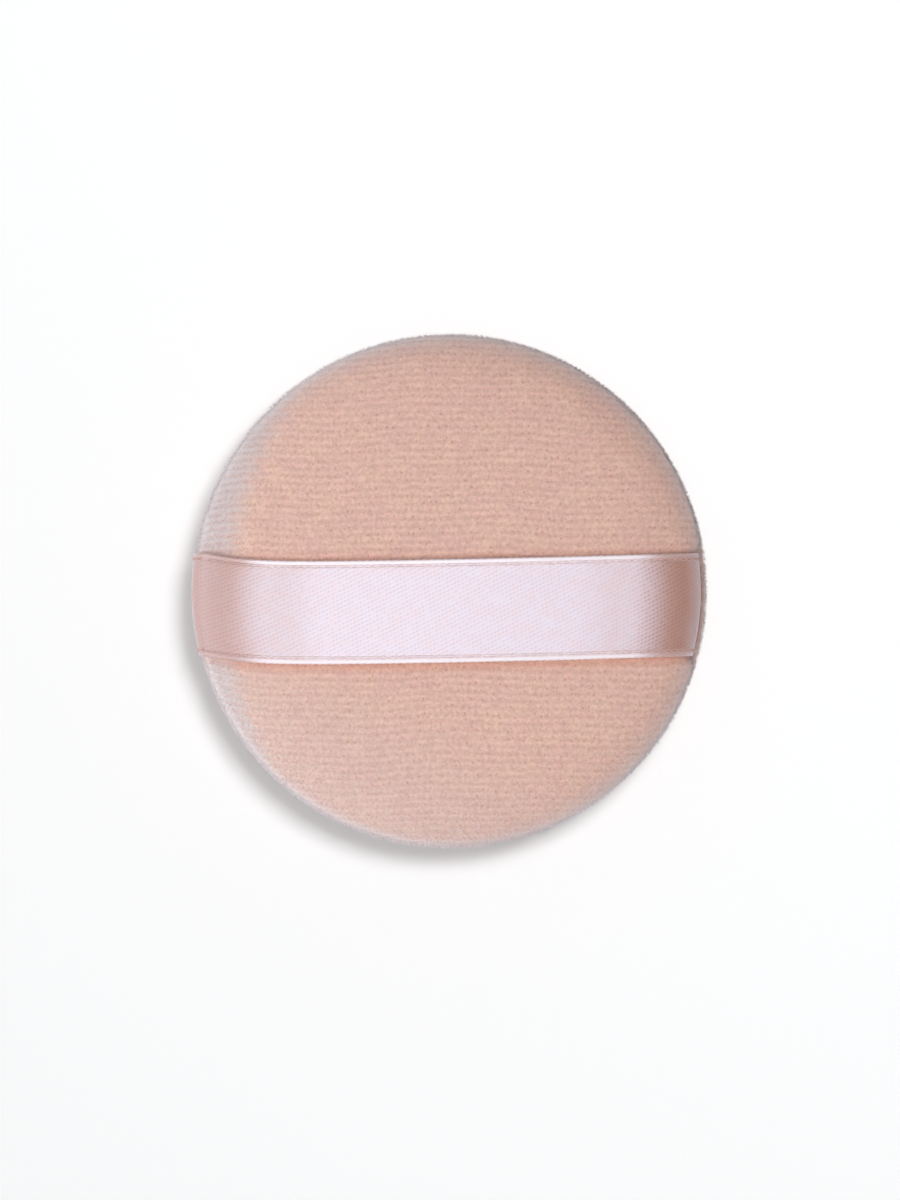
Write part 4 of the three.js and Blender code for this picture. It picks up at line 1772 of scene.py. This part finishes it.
        # Painted shade on the loops towards the ends
        store(piece, "end_shade", np.concatenate([self.end_shade(path[pick], end)] * 2))
        return grow(piece, self.growths.loops, {
            "Loop Length": self.loop_length * MM, "Loop Width": self.loop_width * MM,
            "Yarn Radius": self.yarn_radius * MM, "Material": self.finish.edging(),
        })

    def build(self) -> list[bpy.types.Object]:
        """Builds both halves, each followed by its edge loops."""
        return [piece for end in End for piece in (self.build_half(end), self.build_loops(end))]

    def dress(self, pieces: list[bpy.types.Object]) -> None:
        """Gives the pieces their places on the frame.

        Args:
            pieces: Each half, followed by its loops.
        """
        for end, (half, loops) in zip(End, (pieces[:2], pieces[2:])):
            length = len(self.path(end)) * self.step * MM
            for piece in (half, loops):
                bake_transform(piece)
            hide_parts("ribbon")


@dataclass
class Stitching:
    """The sewing threads, on the routes of their solids."""

    form: PuffForm
    growths: Growths
    finish: ThreadFinish
    diameter: float = 0.2
    thread_fit: float = 0.13
    stitch: float = 9.5
    hand_stitch: float = 6.0
    tack_stitch: float = 5.4
    tack_step: float = 1.0
    seam_inset: float = 2.0
    hand_inset: float = 1.5
    tack_margin: float = 2.0
    turning_gap: float = 48.0
    tail: float = 1.5
    corner: float = 0.12
    ring_step: float = 0.12
    twist_length: float = 0.9

    @property
    def level(self) -> float:
        """Height of a thread that lies on an allowance."""
        return self.form.allowance_top + self.thread_fit + self.diameter / 2

    def on_seam(self, radius: float, angle: np.ndarray) -> np.ndarray:
        """Places flat points on a seam line, which the ribbon pulls in at its right end."""
        pulled = radius - self.form.pull(np.full_like(angle, radius), angle)
        return np.stack([pulled * np.cos(angle), pulled * np.sin(angle)], axis=1)

    def stations(self, radius: float, start: float, stop: float, pitch: float) -> np.ndarray:
        """Spaces needle holes along a seam line, a stitch of about the pitch apart."""
        count = max(round((stop - start) * radius / pitch), 1)
        return self.on_seam(radius, np.linspace(start, stop, count + 1))

    def tack_stations(self, end: End) -> np.ndarray:
        """Spaces the straight stitches across one end of the ribbon.

        Args:
            end: Which end.

        Returns:
            Flat points of the needle holes, two for each stitch.
        """
        form = self.form
        line = form.raw_edge + (form.mouth - self.seam_inset - form.raw_edge) / 3
        x = self.on_seam(line, np.zeros(1))[0, 0] if end is End.RIGHT else -line
        pitch = self.tack_stitch + self.tack_step
        count = max(round((form.ribbon_width - 2 * self.tack_margin + self.tack_step) / pitch), 1)
        first = form.ribbon_offset - (count * pitch - self.tack_step) / 2
        starts = first + np.arange(count) * pitch
        return np.array([[x, start + part] for start in starts for part in (0, self.tack_stitch)])

    def at(self, place: np.ndarray, height: float) -> np.ndarray:
        """Lifts a flat point to a height above the seam plane."""
        return np.array([place[0], place[1], self.form.seam_height + height])

    def lock_route(self, stations: np.ndarray, side: Side) -> list[np.ndarray]:
        """Draws one thread of the rim's lockstitch.

        Args:
            stations: The needle holes.
            side: The allowance that the thread lies on.

        Returns:
            The route's points.
        """
        reach = self.diameter / 2 + self.thread_fit
        route = []
        for place in stations:
            outward = unit(place) * reach
            step = outward if side is Side.UPPER else np.array([-outward[1], outward[0]])
            for spot, height in ((place - step, self.level), (place - step, -reach),
                                 (place + step, -reach), (place + step, self.level)):
                route.append(self.at(spot, side.value * height))
        return route

    def running_route(self, stations: np.ndarray) -> list[np.ndarray]:
        """Draws a thread that goes down through one hole and up through the next.

        Args:
            stations: The needle holes.

        Returns:
            The route's points.
        """
        route = []
        for number, place in enumerate(stations):
            way = self.level if number % 2 == 0 else -self.level
            route += [self.at(place, way), self.at(place, -way)]
        return route

    def outer_route(self, stations: np.ndarray) -> list[np.ndarray]:
        """Draws the thread whose stitches show beside the ribbon's right end.

        Args:
            stations: The needle holes in the ribbon's tail.

        Returns:
            The route's points.
        """
        form = self.form
        crossing = self.level + self.diameter + self.thread_fit
        x = form.rim(Side.UPPER) - form.pull_depth + form.seam_face + form.ribbon_thickness / 2
        x += self.thread_fit + self.diameter / 2
        route = []
        for number, place in enumerate(stations):
            bow = form.seam_bow(place[1])
            share = max((math.hypot(x - bow, place[1]) - form.mouth) / (form.pad_radius - form.mouth), 0)
            lip = form.equator - (form.lip_rise + form.velour) * math.sin(math.acos(share))
            legs = [self.at(place, self.level), self.at(place, -crossing),
                    self.at((form.mouth - form.pull_depth - bow, place[1]), -crossing),
                    self.at((x - bow, place[1]), self.thread_fit + self.diameter / 2 - lip)]
            route += legs if number % 2 == 0 else legs[::-1]
        return route

    def thread(self, name: str, route: list[np.ndarray]) -> bpy.types.Object:
        """Spins a thread along a route, with a loose tail at each end.

        Args:
            name: The thread's name.
            route: The route's points.

        Returns:
            The piece.
        """
        flat = np.array([1.0, 1.0, 0.0])
        lead = route[0] + unit((route[0] - route[2]) * flat) * self.tail
        close = route[-1] + unit((route[-1] - route[-3]) * flat) * self.tail
        points = np.array([lead, *route, close])
        links = [[number, number + 1] for number in range(len(points) - 1)]
        piece = mesh_piece(name, points, [], links)
        return grow(piece, self.growths.thread, {
            "Radius": self.diameter / 2 * MM, "Bend": self.corner * MM, "Step": self.ring_step * MM,
            "Twist": 2 * math.pi / (self.twist_length * MM), "Material": self.finish.thread(),
        })

    def build(self) -> list[bpy.types.Object]:
        """Builds the five threads.

        Returns:
            The pieces.
        """
        seam_line = self.form.mouth - self.seam_inset
        hand_line = self.form.mouth - self.hand_inset
        half_gap = self.turning_gap / 2 / seam_line
        margin = self.hand_stitch / 2 / hand_line
        quarter = math.pi / 2
        seam = self.stations(seam_line, quarter + half_gap, 5 * quarter - half_gap, self.stitch)
        half_row = half_gap - margin
        hand = self.stations(hand_line, quarter - half_row, quarter + half_row, self.hand_stitch)
        return [
            self.thread("rim_upper_stitches", self.lock_route(seam, Side.UPPER)),
            self.thread("rim_lower_stitches", self.lock_route(seam, Side.LOWER)),
            self.thread("closing_stitches", self.running_route(hand)),
            self.thread("left_tack_stitches", self.running_route(self.tack_stations(End.LEFT))),
            self.thread("right_tack_stitches", self.outer_route(self.tack_stations(End.RIGHT))),
        ]

    def dress(self, pieces: list[bpy.types.Object]) -> None:
        """Gives the threads their places on the frame.

        Args:
            pieces: The five threads.
        """
        nodes = ("rim_needle_thread", "rim_bobbin_thread", "closing_thread", "left_tack_thread",
                 "right_tack_thread")
        for piece, node in zip(pieces, nodes):
            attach(piece, "pad")
            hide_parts(node)


@dataclass
class Studio:
    """Floor, lamps, surroundings and camera."""

    frame_height: float = 0.1856
    camera_height: float = 1.0
    camera_shift: float = -0.0014
    aim_height: float = 0.010
    sensor: float = 36.0
    floor_colour: Colour = (0.82, 0.82, 0.82, 1.0)
    floor_radius: float = 4000.0
    floor_corners: int = 64
    glow_reach: tuple[float, float] = (0.1, 0.8)
    glow_levels: tuple[float, float] = (0.27, 0.92)
    world_colour: Colour = (0.95, 0.97, 1.0, 1.0)
    world_levels: tuple[float, float] = (0.3, 1.05)
    warm_light: tuple[float, float, float] = (1.0, 0.97, 0.94)
    cool_light: tuple[float, float, float] = (0.78, 0.92, 1.0)
    side_sheen: tuple[float, float, float] = (0.34, 0.76, 1.0)
    top_sheen: tuple[float, float, float] = (0.54, 0.85, 0.96)

    def build(self) -> None:
        """Builds the whole studio."""
        scene = bpy.context.scene
        scene.view_settings.view_transform = "Standard"
        # The light tree would draw a faint dark band where the ribbon's halves meet
        scene.cycles.use_light_tree = False
        self.build_floor()
        self.build_world()
        self.build_lamps()
        self.build_camera()

    def build_floor(self) -> None:
        """Builds a wide round floor that keeps the shadow and is white to the camera elsewhere."""
        angle = angles(self.floor_corners)
        points = np.stack([np.cos(angle), np.sin(angle), np.zeros_like(angle)], axis=1) * self.floor_radius
        floor = mesh_piece("floor", points, [list(range(self.floor_corners))])
        material = bpy.data.materials.new("floor")
        material.use_nodes = True
        sketch = Sketch(material.node_tree)
        material.node_tree.nodes.remove(material.node_tree.nodes["Principled BSDF"])
        rays = sketch.add("ShaderNodeLightPath").outputs
        seen = sketch.math("MAXIMUM", rays["Is Camera Ray"],
                           sketch.math("MAXIMUM", rays["Is Glossy Ray"], rays["Is Transmission Ray"]))
        away = sketch.add("ShaderNodeVectorMath", {0: sketch.place()}, operation="LENGTH").outputs["Value"]
        glow = sketch.math("MULTIPLY", seen, sketch.ramp(away, *self.glow_reach, *self.glow_levels))
        matte = sketch.add("ShaderNodeBsdfDiffuse", {"Color": self.floor_colour})
        light = sketch.add("ShaderNodeEmission", {"Strength": glow})
        both = sketch.add("ShaderNodeAddShader", {0: matte.outputs[0], 1: light.outputs[0]})
        sketch.feed(material.node_tree.nodes["Material Output"].inputs["Surface"], both.outputs[0])
        floor.data.materials.append(material)

    def build_world(self) -> None:
        """Builds an even pale surrounding, white to the camera."""
        world = bpy.data.worlds.new("studio")
        world.use_nodes = True
        bpy.context.scene.world = world
        sketch = Sketch(world.node_tree)
        shade = world.node_tree.nodes["Background"]
        shade.inputs["Color"].default_value = self.world_colour
        rays = sketch.add("ShaderNodeLightPath").outputs
        strength = sketch.ramp(rays["Is Camera Ray"], 0.0, 1.0, *self.world_levels)
        sketch.feed(shade.inputs["Strength"], strength)

    def build_lamps(self) -> None:
        """Hangs a main lamp overhead, two cool fills low at the left and below, and two gloss cards.

        The cards, at the left and overhead, show only in gloss. A lamp of its own at the upper right
        lights the floor, and the main lamp and the fills leave the floor out.
        """
        main_lamp = self.lamp("main_lamp", (-0.22, -0.16, 1.13), size=0.7, power=9.2)
        main_lamp.data.color = self.warm_light
        main_lamp.visible_glossy = False
        fills = [self.lamp("left_fill", (-1.1, 0.0, 0.17), size=0.5, power=4.2),
                 self.lamp("lower_fill", (-0.45, -1.05, 0.17), size=0.5, power=2.6)]
        for fill in fills:
            fill.data.color = self.cool_light
            fill.data.use_shadow = False
            fill.visible_glossy = False
        side_card = self.lamp("side_card", (-0.95, -0.02, 0.45), size=1.0, power=7.4)
        side_card.data.color = self.side_sheen
        gloss_card = self.lamp("gloss_card", (0.02, -0.04, 1.25), size=1.0, power=14.9)
        gloss_card.data.color = self.top_sheen
        for card in (side_card, gloss_card):
            card.visible_diffuse = False
        floor_lamp = self.lamp("floor_lamp", (0.24, 0.30, 1.05), size=0.34, power=8.0)
        self.share_floor(floor_lamp, "INCLUDE")
        for lamp in (main_lamp, *fills):
            self.share_floor(lamp, "EXCLUDE")

    def share_floor(self, lamp: bpy.types.Object, share: str) -> None:
        """Makes a lamp light only the floor, or everything but the floor.

        Args:
            lamp: The lamp.
            share: INCLUDE for only the floor, EXCLUDE for everything else.
        """
        receivers = bpy.data.collections.new(f"{lamp.name}_receivers")
        receivers.objects.link(bpy.data.objects["floor"])
        receivers.collection_objects[0].light_linking.link_state = share
        lamp.light_linking.receiver_collection = receivers

    def lamp(
        self, name: str, place: tuple[float, float, float], size: float, power: float,
    ) -> bpy.types.Object:
        """Hangs one square lamp that faces the puff.

        Args:
            name: The lamp's name.
            place: Where it hangs, in metres.
            size: Length of its side, in metres.
            power: Its power in watts.

        Returns:
            The lamp.
        """
        light = bpy.data.lights.new(name, "AREA")
        light.size = size
        light.energy = power
        lamp = bpy.data.objects.new(name, light)
        lamp.location = place
        aim = Vector((0, 0, self.aim_height)) - Vector(place)
        lamp.rotation_euler = aim.to_track_quat("-Z", "Y").to_euler()
        bpy.context.scene.collection.objects.link(lamp)
        return lamp

    def build_camera(self) -> None:
        """Sets the camera straight above the puff."""
        camera = bpy.data.cameras.new("camera")
        camera.sensor_fit = "VERTICAL"
        camera.sensor_height = self.sensor
        camera.lens = self.sensor * self.camera_height / self.frame_height
        camera.clip_start = 0.01
        holder = bpy.data.objects.new("camera", camera)
        holder.location = (0.0, self.camera_shift, self.camera_height + self.aim_height)
        bpy.context.scene.collection.objects.link(holder)
        bpy.context.scene.camera = holder


def main() -> None:
    """Builds the studio and the puff in order, and reports each piece."""
    logging.basicConfig(level=logging.INFO, format="%(message)s")
    effects = SharedEffects()
    growths = Growths()
    form = PuffForm()
    velour = VelourFinish(effects)
    Studio().build()
    parts = [
        Cover(Side.UPPER, form, growths, velour),
        Cover(Side.LOWER, form, growths, velour),
        FoamCore(form, FoamFinish(effects)),
        RibbonLoop(form, growths, SatinFinish(effects)),
        Stitching(form, growths, ThreadFinish(effects)),
    ]
    for part in parts:
        pieces = part.build()
        part.dress(pieces)
        for piece in pieces:
            piece.data.calc_loop_triangles()
            log.info("%s: %d triangles", piece.name, len(piece.data.loop_triangles))


if __name__ == "__main__":
    main()
